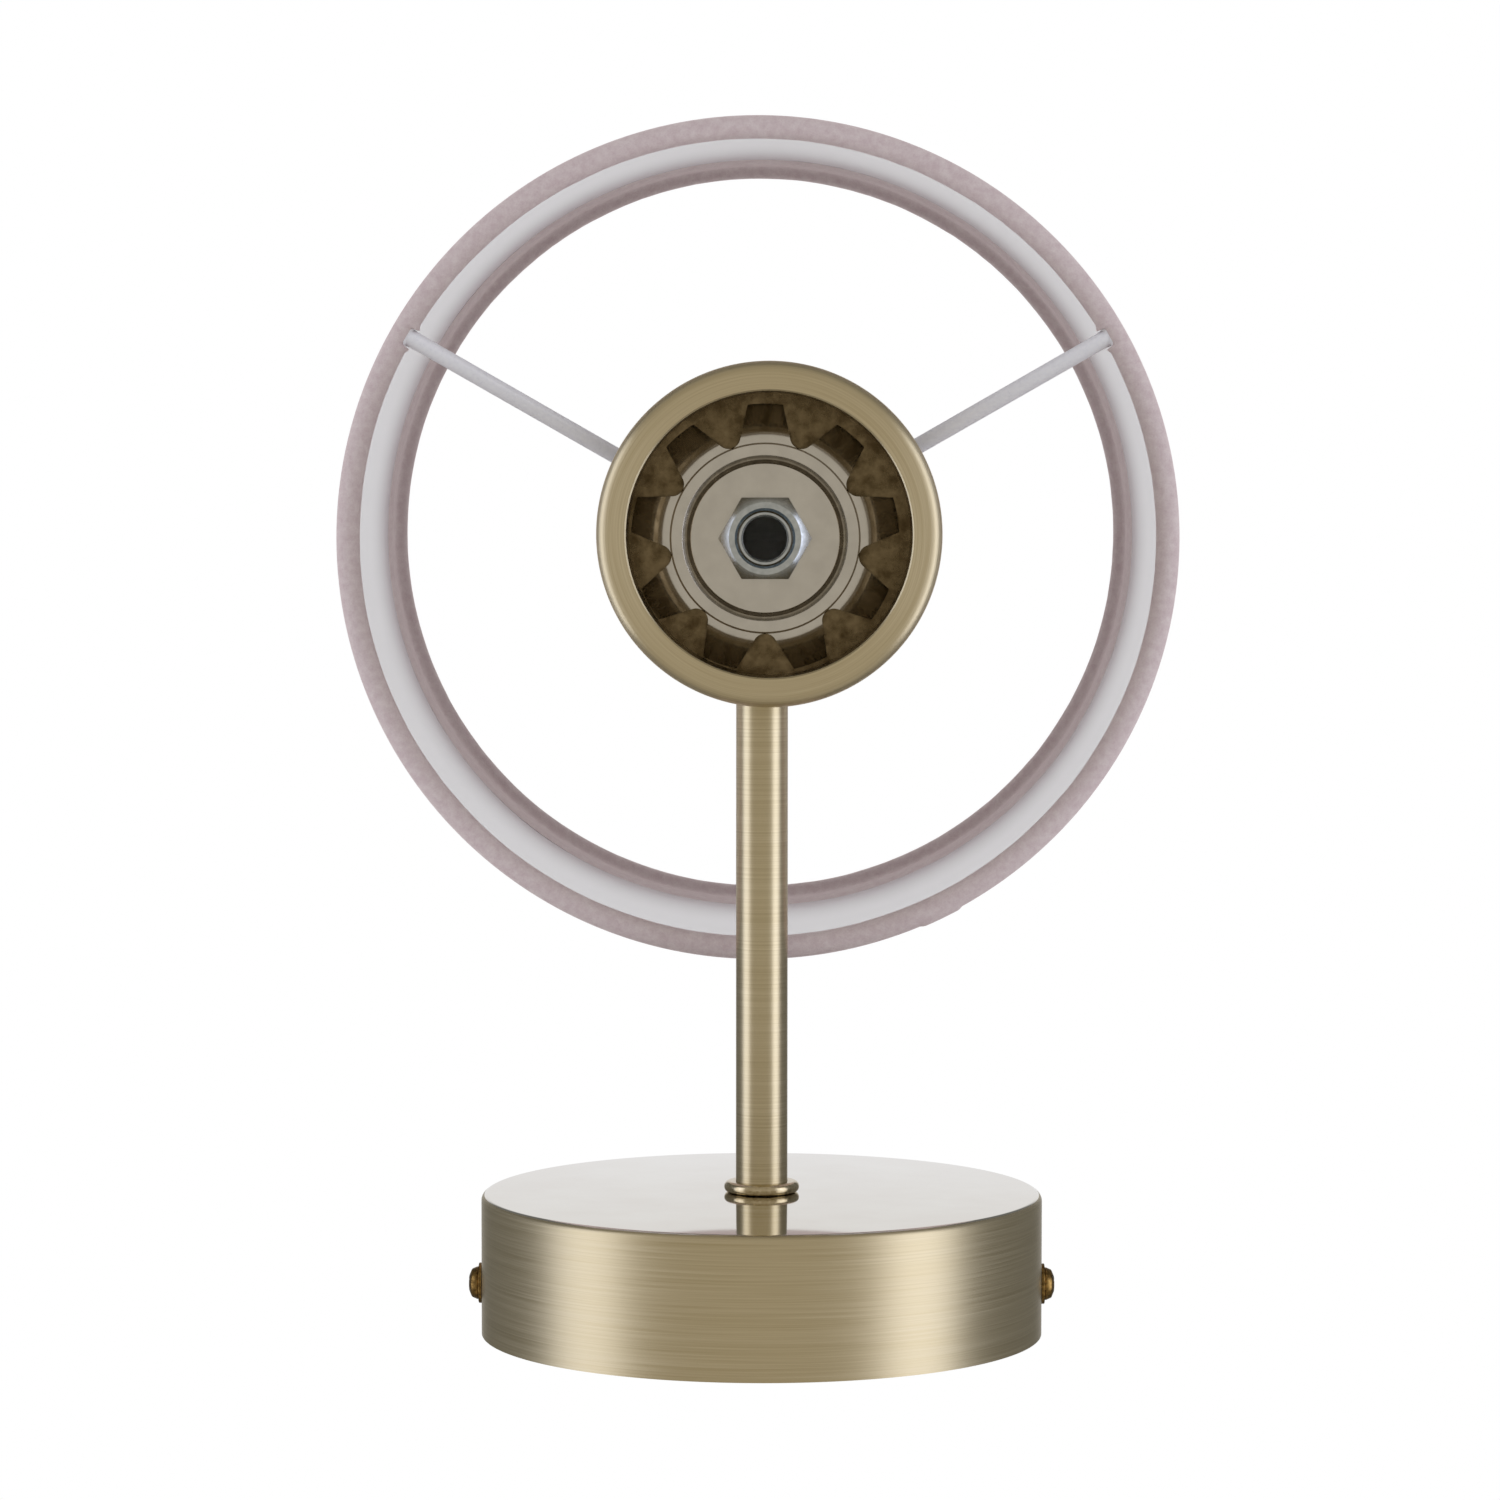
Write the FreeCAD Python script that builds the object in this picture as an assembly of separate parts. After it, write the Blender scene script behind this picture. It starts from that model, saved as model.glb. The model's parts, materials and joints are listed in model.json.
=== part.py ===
import FreeCAD
import Part
import math
import os

# Wall sconce: a round canopy, a straight arm, a turned lamp cup and a drum shade.
# All lengths are in millimetres and all angles in degrees.
# The origin is the centre of the canopy's rim, which lies on the wall.
# The wall is the plane y = 0, the arm leads along -Y, and +Z is up in use.

V = FreeCAD.Vector

# Canopy
canopy_radius = 50.0
canopy_depth = 25.0
canopy_wall = 1.0
canopy_edge_radius = 1.2
canopy_screw_from_wall = 8.5

# Canopy screws and washers
canopy_screw_radius = 1.5
canopy_screw_length = 8.0
canopy_screw_head_radius = 2.9
canopy_screw_head_height = 1.75
canopy_washer_radius = 3.6
canopy_washer_thickness = 0.55
canopy_screw_clearance = 0.3
thread_clearance = 0.03

# Wall bracket
bracket_thickness = 1.5
bracket_bar_width = 14.0
bracket_plate_radius = 27.0
bracket_ear_depth = 14.5
bracket_side_clearance = 0.9
bracket_bend_radius = 2.2
bracket_cable_hole_radius = 7.5
wall_slot_spacing = 72.0
wall_slot_length = 10.0
wall_slot_width = 4.6

# Arm
arm_reach = 142.5
arm_radius = 4.6
arm_bore_radius = 3.5
spigot_radius = 4.0
spigot_bore_radius = 2.7
spigot_behind_canopy = 7.5
spigot_hole_clearance = 0.2
collar_radius = 6.7
collar_height = 2.0
collar_floor = 0.8
collar_fit = 0.05

# Arm lock nut and toothed washer
arm_nut_flats = 13.0
arm_nut_height = 3.5
arm_washer_radius = 7.4
arm_washer_thickness = 0.8
arm_washer_teeth = 12

# Lamp cup
cup_radius = 30.0
cup_below_arm = 22.0
cup_above_arm = 20.0
cup_mouth_radius = 24.8
cup_rim_round = 2.4
cup_top_round = 1.5
cup_lip_chamfer = 0.25
claw_step_depth = 17.0
cup_belt_radius = 17.0
cup_belt_height = 12.0
cup_upper_radius = 24.8
cup_end_wall = 3.0
cup_arm_seat_depth = 0.9
cup_arm_seat_clearance = 0.05

# The cup stands a little off the arm's axis, the lampholder off the cup's and the shade off the lampholder's
cup_slack_x = 1.3
holder_slack_x = -0.75
holder_slack_y = 0.75
shade_slack_x = -1.4
shade_slack_y = 0.4

# Claw disc
claw_count = 9
claw_disc_thickness = 0.8
claw_plateau_radius = 13.0
claw_groove_height = 0.65
claw_bead_inner_radius = 14.9
claw_bead_outer_radius = 16.5
claw_root_radius = 18.9
claw_tip_radius = 23.6
claw_angle = 46.5
claw_notch_centre = 18.8
claw_notch_radius = 2.1
claw_notch_flare = 31.7
claw_first_notch = -70.0

# Nipple and disc nut
nipple_radius = 4.85
nipple_bore_radius = 3.85
nipple_pitch = 1.0
nipple_thread_depth = 0.35
nipple_past_nut = 2.4
nipple_in_cap = 4.0
disc_nut_flats = 14.2
disc_nut_height = 3.0
disc_nut_turn = -3.0
nipple_hole_clearance = 0.2

# Lampholder
cap_radius = 15.5
cap_wall = 2.2
cap_floor = 3.2
cap_foot_radius = 12.2
cap_top_above_arm = 14.0
cap_engagement = 5.0
cap_window_width = 9.2
cap_window_height = 5.2
body_radius = 16.2
body_fit = 0.05
body_flange_radius = 20.5
body_flange_thickness = 2.2
skirt_radius = 14.4
skirt_wall = 1.8
skirt_top_above_arm = 52.0
skirt_pitch = 2.5
skirt_thread_depth = 0.5
insert_flange_radius = 15.3
insert_flange_thickness = 3.0
insert_foot_radius = 11.0
insert_foot_length = 6.0
insert_floor_above_arm = 26.0
insert_fit = 0.3
insert_below_skirt_top = 0.8
terminal_spread = 5.5
terminal_hole_radius = 1.45
terminal_hole_depth = 6.0
terminal_screw_radius = 1.25
terminal_screw_head_radius = 2.1
terminal_screw_head_height = 1.6

# Thread shell for the bulb, and the contact under it
socket_radius = 7.0
socket_wall = 0.5
socket_length = 19.6
contact_well_radius = 6.7
contact_well_depth = 4.4
contact_width = 4.6
contact_thickness = 0.4

# Shade rings on the skirt
shade_ring_radius = 19.0
shade_ring_grip_radius = 17.6
shade_ring_flange = 1.5
shade_ring_height = 4.5
shade_ring_fit = 0.06
shade_ring_flutes = 18
shade_ring_flute_radius = 1.1

# Shade
shade_radius = 75.8
shade_height = 113.0
shade_bottom_above_arm = 9.4
shade_wire_radius = 1.5
shade_wrap = 0.6
shade_cover_thickness = 1.0
shade_lining_thickness = 0.4
shade_hem = 15.0
shade_hem_thickness = 0.6
shade_wire_fit = 0.03
fitter_above_arm = 33.0
fitter_outer_radius = 23.5
fitter_thickness = 1.4
fitter_fit = 0.1
spoke_radius = 1.5
spoke_start_radius = 22.2
spoke_angles = (-150.0, -30.0, 90.0)

# Terminal block, earth point and leads inside the canopy
block_width = 26.0
block_height = 16.0
block_depth = 12.0
block_top = -8.0
block_pitch = 8.0
block_sleeve_radius = 2.2
block_sleeve_bore = 1.4
block_sleeve_fit = 0.05
block_sleeve_depth = 4.2
block_screw_radius = 1.3
block_screw_well_radius = 1.9
block_foot_screw_radius = 1.5
block_foot_screw_head_radius = 2.6
earth_x = 8.0
earth_z = 20.0
earth_screw_radius = 2.0
earth_screw_head_radius = 3.8
earth_screw_head_height = 2.4
earth_ring_radius = 4.0
earth_ring_thickness = 0.8
earth_barrel_radius = 1.7
earth_barrel_length = 5.0
lead_radius = 0.95
lead_pair_gap = 0.2
lead_bend = 4.0

# Places that follow from the sizes above
lamp_y = -arm_reach
cup_x = cup_slack_x
holder_x = cup_x + holder_slack_x
holder_y = lamp_y + holder_slack_y
shade_x = holder_x + shade_slack_x
shade_y = holder_y + shade_slack_y
cup_rim_z = -cup_below_arm
claw_step_z = cup_rim_z + claw_step_depth
claw_rise = (claw_tip_radius - claw_root_radius) * math.tan(math.radians(claw_angle))
claw_root_z = claw_step_z - claw_disc_thickness * math.cos(math.radians(claw_angle)) - claw_rise
claw_plateau_z = claw_root_z - claw_groove_height
cap_bottom_z = claw_plateau_z + claw_disc_thickness
canopy_bore_radius = canopy_radius - canopy_wall
canopy_front = canopy_depth
arm_start = canopy_front + collar_floor
arm_end = arm_reach - cup_radius + cup_arm_seat_depth
seat_ring_z = fitter_above_arm - shade_ring_height
clamp_ring_z = fitter_above_arm + fitter_thickness
shade_slack = math.hypot(shade_slack_x, shade_slack_y)
holder_slack = math.hypot(holder_slack_x, holder_slack_y)
shell_foot_z = insert_floor_above_arm + contact_well_depth
fitter_bore_radius = skirt_radius + shade_slack + fitter_fit
shade_bead_radius = shade_wire_radius + shade_wrap
shade_wire_ring = shade_radius - shade_bead_radius
shade_wire_low_z = shade_bottom_above_arm + shade_bead_radius
shade_wire_high_z = shade_bottom_above_arm + shade_height - shade_bead_radius
lead_half_gap = lead_radius + lead_pair_gap / 2


def save(name, *solids):
    """One sub-part as one STEP file, with a separate solid for each separate piece."""
    shape = solids[0] if len(solids) == 1 else Part.makeCompound(list(solids))
    shape.exportStep(os.path.join("parts", name + ".step"))
    print(name, len(shape.Solids), "solids", round(shape.Volume, 1), "mm3")


def rounded_path(points, radii, closed):
    """Straight runs through the points, with an arc of the given radius at each corner."""
    count = len(points)
    starts, ends, edges = list(points), list(points), []
    for i in range(count):
        if radii[i] <= 0 or (not closed and i in (0, count - 1)):
            continue
        back = (points[i - 1] - points[i]).normalize()
        ahead = (points[(i + 1) % count] - points[i]).normalize()
        half = back.getAngle(ahead) / 2
        reach = radii[i] / math.tan(half)
        middle = (back + ahead).normalize() * (radii[i] / math.sin(half) - radii[i])
        starts[i] = points[i] + back * reach
        ends[i] = points[i] + ahead * reach
        edges.append((i, Part.Arc(starts[i], points[i] + middle, ends[i]).toShape()))
    arcs = dict(edges)
    path = []
    for i in range(count):
        if i in arcs:
            path.append(arcs[i])
        if closed or i < count - 1:
            following = starts[(i + 1) % count]
            if (following - ends[i]).Length > 1e-6:
                path.append(Part.makeLine(ends[i], following))
    return Part.Wire(path)


def turned(profile):
    """A solid of revolution about Z. Each corner is (radius, height) or (radius, height, rounding)."""
    points = [V(c[0], 0, c[1]) for c in profile]
    radii = [c[2] if len(c) > 2 else 0 for c in profile]
    face = Part.Face(rounded_path(points, radii, True))
    return face.revolve(V(0, 0, 0), V(0, 0, 1), 360)


def tube(outer, inner, low, high):
    """A plain ring about Z."""
    return turned([(inner, low), (outer, low), (outer, high), (inner, high)])


def on_arm(shape):
    """Turns a piece made about Z so that its height runs from the wall along the arm."""
    placed = shape.copy()
    placed.rotate(V(0, 0, 0), V(1, 0, 0), 90)
    return placed


def at(shape, x, y, z=0.0):
    placed = shape.copy()
    placed.translate(V(x, y, z))
    return placed


def spun(shape, angle):
    placed = shape.copy()
    placed.rotate(V(0, 0, 0), V(0, 0, 1), angle)
    return placed


def box(low, high):
    """A block between two corners."""
    size = V(*high) - V(*low)
    return Part.makeBox(size.x, size.y, size.z, V(*low))


def rod(radius, start, end):
    """A round bar from one point to another."""
    line = V(*end) - V(*start)
    return Part.makeCylinder(radius, line.Length, V(*start), line)


def hexagon(flats, height):
    """A hexagonal bar about Z whose flats face along Y."""
    corner = flats / math.sqrt(3)
    turns = [math.radians(60 * i) for i in range(7)]
    points = [V(corner * math.cos(turn), corner * math.sin(turn), 0) for turn in turns]
    return Part.Face(Part.makePolygon(points)).extrude(V(0, 0, height))


def hex_nut(flats, height, bore):
    """A hexagonal nut with both faces chamfered at its corners and a countersunk bore."""
    corner = flats / math.sqrt(3)
    drop = (corner - flats / 2) * 0.55
    slope = corner - flats / 2 + 0.15
    body = turned([
        (bore + 0.45, 0), (corner - slope, 0), (corner + 0.05, drop), (corner + 0.05, height - drop),
        (corner - slope, height), (bore + 0.45, height), (bore, height - 0.45), (bore, 0.45),
    ])
    return body.common(hexagon(flats, height))


def ring_grooves(crest, depth, pitch, low, high):
    """Corners of a ring-grooved outside, going up from the low to the high end."""
    corners = [(crest, low)]
    count = int((high - low) / pitch)
    for i in range(count):
        base = low + i * pitch
        corners.append((crest, base + pitch * 0.2))
        corners.append((crest - depth, base + pitch * 0.45))
        corners.append((crest - depth, base + pitch * 0.6))
        corners.append((crest, base + pitch * 0.85))
    corners.append((crest, high))
    return corners


def lead(points, bends):
    """A round insulated lead along a rounded route."""
    route = rounded_path([V(*p) for p in points], bends, False)
    start, ahead = V(*points[0]), V(*points[1])
    ring = Part.Wire(Part.makeCircle(lead_radius, start, ahead - start))
    return route.makePipeShell([ring], True, False)


def make_canopy():
    """Drawn shell, open towards the wall, with the arm's hole and the two screw holes."""
    hole = spigot_radius + spigot_hole_clearance
    shell = on_arm(turned([
        (canopy_bore_radius, 0), (canopy_radius, 0),
        (canopy_radius, canopy_front, canopy_edge_radius), (hole, canopy_front),
        (hole, canopy_front - canopy_wall), (canopy_bore_radius, canopy_front - canopy_wall, 0.4),
    ]))
    drill = rod(
        canopy_screw_radius + canopy_screw_clearance,
        (-canopy_radius - 1, -canopy_screw_from_wall, 0),
        (canopy_radius + 1, -canopy_screw_from_wall, 0),
    )
    return shell.cut(drill)


def make_bracket():
    """Bent strip: a plate on the wall and two tapped ears that stand inside the canopy."""
    outer = canopy_bore_radius - bracket_side_clearance
    inner = outer - bracket_thickness
    half = bracket_bar_width / 2
    corners = [
        (-outer, 0, bracket_bend_radius), (outer, 0, bracket_bend_radius),
        (outer, bracket_ear_depth, 0), (inner, bracket_ear_depth, 0),
        (inner, bracket_thickness, bracket_bend_radius - bracket_thickness),
        (-inner, bracket_thickness, bracket_bend_radius - bracket_thickness),
        (-inner, bracket_ear_depth, 0), (-outer, bracket_ear_depth, 0),
    ]
    outline = rounded_path([V(c[0], -c[1], -half) for c in corners], [c[2] for c in corners], True)
    strip = Part.Face(outline).extrude(V(0, 0, bracket_bar_width))
    plate = on_arm(Part.makeCylinder(bracket_plate_radius, bracket_thickness))
    bracket = strip.fuse(plate).removeSplitter()
    bracket = bracket.cut(on_arm(Part.makeCylinder(bracket_cable_hole_radius, bracket_thickness)))
    for side in (-1, 1):
        middle = side * wall_slot_spacing / 2
        run = (wall_slot_length - wall_slot_width) / 2
        slot_half = wall_slot_width / 2
        slot = box((middle - run, -bracket_thickness, -slot_half), (middle + run, 0, slot_half))
        bracket = bracket.cut(slot)
        for end in (middle - run, middle + run):
            bracket = bracket.cut(rod(slot_half, (end, -bracket_thickness, 0), (end, 0, 0)))
    bracket = bracket.cut(rod(
        canopy_screw_radius + thread_clearance,
        (-canopy_radius, -canopy_screw_from_wall, 0),
        (canopy_radius, -canopy_screw_from_wall, 0),
    ))
    for x, z, radius in (
        (earth_x, earth_z, earth_screw_radius),
        (block_pitch / 2, block_top - block_height / 2, block_foot_screw_radius),
    ):
        bracket = bracket.cut(rod(radius + thread_clearance, (x, -bracket_thickness, z), (x, 0, z)))
    return bracket


def make_canopy_screw(side):
    """Pan-head screw through the canopy's side wall into the bracket's ear."""
    seat = canopy_radius + canopy_washer_thickness
    head = turned([
        (0, 0), (canopy_screw_head_radius, 0), (canopy_screw_head_radius, 0.35),
        (canopy_screw_head_radius * 0.86, canopy_screw_head_height * 0.72, 0.5),
        (canopy_screw_head_radius * 0.45, canopy_screw_head_height, 1.2), (0, canopy_screw_head_height),
    ])
    shank = turned([
        (0, -canopy_screw_length), (canopy_screw_radius - 0.4, -canopy_screw_length),
        (canopy_screw_radius, -canopy_screw_length + 0.5), (canopy_screw_radius, 0), (0, 0),
    ])
    screw = head.fuse(shank).removeSplitter()
    for turn in (45, 135):
        cross = box((-1.55, -0.3, canopy_screw_head_height - 0.9), (1.55, 0.3, canopy_screw_head_height + 1))
        screw = screw.cut(spun(cross, turn))
    screw.rotate(V(0, 0, 0), V(0, 1, 0), 90 * side)
    return at(screw, side * seat, -canopy_screw_from_wall)


def make_canopy_washer(side):
    """Flat washer between the screw's head and the canopy's side."""
    bore = canopy_screw_radius + thread_clearance
    washer = turned([
        (bore, 0), (canopy_washer_radius, 0), (canopy_washer_radius, canopy_washer_thickness, 0.15),
        (bore, canopy_washer_thickness),
    ])
    washer.rotate(V(0, 0, 0), V(0, 1, 0), 90 * side)
    return at(washer, side * canopy_radius, -canopy_screw_from_wall)


def make_arm():
    """Tube with a threaded spigot at each end, one through the canopy and one into the cup."""
    back = canopy_front - canopy_wall - spigot_behind_canopy
    tip = arm_reach - cup_belt_radius - 0.3
    return on_arm(turned([
        (spigot_bore_radius, back), (spigot_radius - 0.4, back), (spigot_radius, back + 0.4),
        (spigot_radius, arm_start), (arm_radius, arm_start), (arm_radius, arm_end),
        (spigot_radius, arm_end), (spigot_radius, tip - 0.4), (spigot_radius - 0.4, tip),
        (spigot_bore_radius, tip), (spigot_bore_radius, arm_end + 1.0),
        (arm_bore_radius, arm_end - 1.0), (arm_bore_radius, arm_start + 3.0),
        (spigot_bore_radius, arm_start + 1.0),
    ]))


def make_collar():
    """Round bead on the canopy's face, counterbored for the arm's foot."""
    hole = spigot_radius + spigot_hole_clearance
    seat = arm_radius + collar_fit
    low, high = canopy_front, canopy_front + collar_height
    bead = collar_height / 2 - 0.05
    return on_arm(turned([
        (hole, low), (collar_radius, low, bead), (collar_radius, high, bead),
        (seat, high), (seat, low + collar_floor), (hole, low + collar_floor),
    ]))


def make_arm_washer():
    """Toothed lock washer under the arm's nut."""
    top = canopy_front - canopy_wall
    ring = tube(arm_washer_radius, spigot_radius + spigot_hole_clearance, top - arm_washer_thickness, top)
    notch = box((arm_washer_radius - 1.3, -0.55, 0), (arm_washer_radius + 1, 0.55, top))
    for i in range(arm_washer_teeth):
        ring = ring.cut(spun(notch, i * 360.0 / arm_washer_teeth))
    return on_arm(ring)


def make_arm_nut():
    """Hexagonal nut that clamps the arm and its collar to the canopy."""
    low = canopy_front - canopy_wall - arm_washer_thickness - arm_nut_height
    nut = hex_nut(arm_nut_flats, arm_nut_height, spigot_radius + thread_clearance)
    return on_arm(at(nut, 0, 0, low))


def make_cup():
    """Thick turned cup: open below, an inner belt for the claws and the arm, an end round the lampholder."""
    top = cup_above_arm
    hole = body_radius + holder_slack + 0.15
    cup = turned([
        (cup_mouth_radius, cup_rim_z + cup_lip_chamfer), (cup_mouth_radius + cup_lip_chamfer, cup_rim_z),
        (cup_radius, cup_rim_z, cup_rim_round), (cup_radius, top, cup_top_round),
        (hole, top), (hole, top - cup_end_wall), (cup_upper_radius, top - cup_end_wall, 1.0),
        (cup_upper_radius, claw_step_z + cup_belt_height), (cup_belt_radius, claw_step_z + cup_belt_height),
        (cup_belt_radius, claw_step_z), (cup_mouth_radius, claw_step_z),
    ])
    cup = at(cup, cup_x, lamp_y)
    outside = -arm_end + cup_arm_seat_depth
    seat = rod(arm_radius + cup_arm_seat_clearance, (0, outside + 1, 0), (0, -arm_end, 0))
    thread = rod(spigot_radius + thread_clearance, (0, -arm_end, 0), (0, lamp_y + cup_belt_radius - 1, 0))
    return cup.cut(seat).cut(thread)


def make_claw_disc():
    """Pressed spring disc: a flat centre, a groove and a bead, and nine claws bent up to the cup's step."""
    slope = math.radians(claw_angle)
    low, root = claw_plateau_z, claw_root_z
    tip = root + claw_rise
    thick = claw_disc_thickness
    bend = thick * math.tan(slope / 2)
    hole = nipple_radius + nipple_hole_clearance
    inner_tip_r = claw_tip_radius - thick * math.sin(slope)
    inner_tip_z = tip + thick * math.cos(slope)
    disc = turned([
        (hole, low), (claw_plateau_radius, low, 0.5), (claw_plateau_radius + 0.7, root, 0.4),
        (claw_bead_inner_radius - 0.5, root, 0.4), (claw_bead_inner_radius, low + 0.1, 0.3),
        (claw_bead_outer_radius, low + 0.1, 0.3), (claw_bead_outer_radius + 0.5, root, 0.3),
        (claw_root_radius, root, 1.2), (claw_tip_radius, tip), (inner_tip_r, inner_tip_z),
        (claw_root_radius - bend, root + thick, 0.4), (claw_bead_outer_radius + 0.2, root + thick, 0.3),
        (claw_bead_outer_radius - 0.4, low + thick + 0.1, 0.2),
        (claw_bead_inner_radius + 0.3, low + thick + 0.1, 0.2),
        (claw_bead_inner_radius - 0.2, root + thick, 0.3), (claw_plateau_radius + 0.2, root + thick, 0.3),
        (claw_plateau_radius - 0.4, low + thick, 0.3), (hole, low + thick),
    ])
    flare = math.radians(claw_notch_flare)
    near_x = claw_notch_centre - claw_notch_radius * math.sin(flare)
    near_y = claw_notch_radius * math.cos(flare)
    far_x = claw_tip_radius + 3.0
    far_y = near_y + (far_x - near_x) * math.tan(flare)
    sides = [V(near_x, -near_y, 0), V(far_x, -far_y, 0), V(far_x, far_y, 0), V(near_x, near_y, 0)]
    sides.append(sides[0])
    wedge = at(Part.Face(Part.makePolygon(sides)).extrude(V(0, 0, 20)), 0, 0, low - 5)
    root_hole = Part.makeCylinder(claw_notch_radius, 20, V(claw_notch_centre, 0, low - 5))
    notch = wedge.fuse(root_hole)
    for i in range(claw_count):
        disc = disc.cut(spun(notch, claw_first_notch + i * 360.0 / claw_count))
    return at(disc, holder_x, holder_y)


def make_disc_nut():
    """Hexagonal nut under the claw disc."""
    nut = hex_nut(disc_nut_flats, disc_nut_height, nipple_radius + thread_clearance)
    return at(spun(nut, disc_nut_turn), holder_x, holder_y, claw_plateau_z - disc_nut_height)


def make_nipple():
    """Hollow threaded nipple from below the nut up into the lampholder's cap."""
    low = claw_plateau_z - disc_nut_height - nipple_past_nut
    high = cap_bottom_z + nipple_in_cap
    thread_low, thread_high = low + 0.3, low + nipple_past_nut - 0.2
    outside = ring_grooves(nipple_radius, nipple_thread_depth, nipple_pitch, thread_low, thread_high)
    corners = [(nipple_bore_radius + 0.3, low), (nipple_radius - 0.3, low)] + outside
    corners += [(nipple_radius, high), (nipple_bore_radius, high), (nipple_bore_radius, low + 0.3)]
    return at(turned(corners), holder_x, holder_y)


def make_cap():
    """Closed lower half of the lampholder, threaded for the nipple, with a window for the leads."""
    low, top = cap_bottom_z, cap_top_above_arm
    bore = nipple_radius + thread_clearance
    cap = turned([
        (bore, low), (cap_foot_radius, low), (cap_radius, low + cap_floor + 0.6, 1.0), (cap_radius, top),
        (cap_radius - cap_wall, top), (cap_radius - cap_wall, low + cap_floor, 1.0), (bore, low + cap_floor),
    ])
    half, tall = cap_window_width / 2, cap_window_height / 2
    window = box((-half, 0, -tall), (half, cap_radius + 1, tall))
    return at(cap.cut(window), holder_x, holder_y)


def make_holder_body():
    """Upper half of the lampholder: a sleeve over the cap, a flange on the cup and a threaded skirt."""
    low, top = cap_top_above_arm - cap_engagement, skirt_top_above_arm
    over_cap = cap_radius + body_fit
    inner = skirt_radius - skirt_wall
    shoulder = cap_top_above_arm + insert_flange_thickness + 0.1
    flange_top = cup_above_arm + body_flange_thickness
    thread = ring_grooves(skirt_radius, skirt_thread_depth, skirt_pitch, flange_top + 0.8, top - 0.8)
    corners = [(over_cap, low), (body_radius, low, 0.3), (body_radius, cup_above_arm)]
    corners += [(body_flange_radius, cup_above_arm, 0.3), (body_flange_radius, flange_top, 0.6)]
    corners.append((skirt_radius - 0.2, flange_top))
    corners += thread + [(skirt_radius - 0.5, top), (inner, top), (inner, shoulder), (over_cap, shoulder)]
    return at(turned(corners), holder_x, holder_y)


def make_insert():
    """Ceramic insert that holds the thread shell, the contact and the two terminals."""
    base = cap_top_above_arm
    foot = base - insert_foot_length
    outer = skirt_radius - skirt_wall - insert_fit
    inner = socket_radius + socket_wall + 0.25
    top = skirt_top_above_arm - insert_below_skirt_top
    insert = turned([
        (0, foot), (insert_foot_radius, foot, 0.6), (insert_foot_radius, base), (insert_flange_radius, base),
        (insert_flange_radius, base + insert_flange_thickness), (outer, base + insert_flange_thickness),
        (outer, top, 0.6), (inner, top, 0.6), (inner, shell_foot_z), (contact_well_radius, shell_foot_z),
        (contact_well_radius, insert_floor_above_arm), (0, insert_floor_above_arm),
    ])
    for side in (-1, 1):
        x = side * terminal_spread
        insert = insert.cut(Part.makeCylinder(terminal_hole_radius, terminal_hole_depth, V(x, 0, foot)))
        screw_z = foot + terminal_hole_depth / 2
        shank = terminal_screw_radius + thread_clearance
        insert = insert.cut(rod(shank, (x, 0, screw_z), (side * insert_foot_radius, 0, screw_z)))
        well = rod(
            terminal_screw_head_radius + 0.3,
            (side * (insert_foot_radius - terminal_screw_head_height - 0.6), 0, screw_z),
            (side * (insert_foot_radius + 1), 0, screw_z),
        )
        insert = insert.cut(well)
    return at(insert, holder_x, holder_y)


def make_terminal_screws():
    """Two slotted screws that clamp the leads in the insert."""
    screws = []
    screw_z = cap_top_above_arm - insert_foot_length + terminal_hole_depth / 2
    tip = terminal_spread + lead_radius
    under_head = insert_foot_radius - terminal_screw_head_height - 0.6
    for side in (-1, 1):
        shank = rod(terminal_screw_radius, (side * tip, 0, screw_z), (side * under_head, 0, screw_z))
        end = under_head + terminal_screw_head_height
        head = rod(terminal_screw_head_radius, (side * under_head, 0, screw_z), (side * end, 0, screw_z))
        slot = box((end - 0.7, -0.3, screw_z - 3), (end + 1, 0.3, screw_z + 3))
        if side < 0:
            slot = slot.mirror(V(0, 0, 0), V(1, 0, 0))
        screws.append(at(shank.fuse(head).removeSplitter().cut(slot), holder_x, holder_y))
    return screws


def make_thread_shell():
    """Brass thread shell for the bulb's cap, open at both ends and standing in the insert."""
    low = shell_foot_z
    high = low + socket_length
    outer = socket_radius + socket_wall
    return at(turned([
        (socket_radius, low), (outer, low), (outer, high - 0.2),
        (socket_radius + 0.2, high), (socket_radius, high - 0.2),
    ]), holder_x, holder_y)


def make_centre_contact():
    """Springy tongue in the insert's well, under the bulb's tip."""
    foot = contact_thickness / 2
    line = [(-5.6, foot), (-2.2, foot), (0.6, contact_well_depth - 0.6), (2.8, contact_well_depth - 1.6)]
    points = [V(-contact_width / 2, y, insert_floor_above_arm + z) for y, z in line]
    route = rounded_path(points, [0, 0.6, 0.7, 0], False)
    start = points[0]
    profile = Part.makePolygon([
        start + V(0, 0, -foot), start + V(contact_width, 0, -foot),
        start + V(contact_width, 0, foot), start + V(0, 0, foot), start + V(0, 0, -foot),
    ])
    return at(route.makePipeShell([profile], True, False), holder_x, holder_y)


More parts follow.
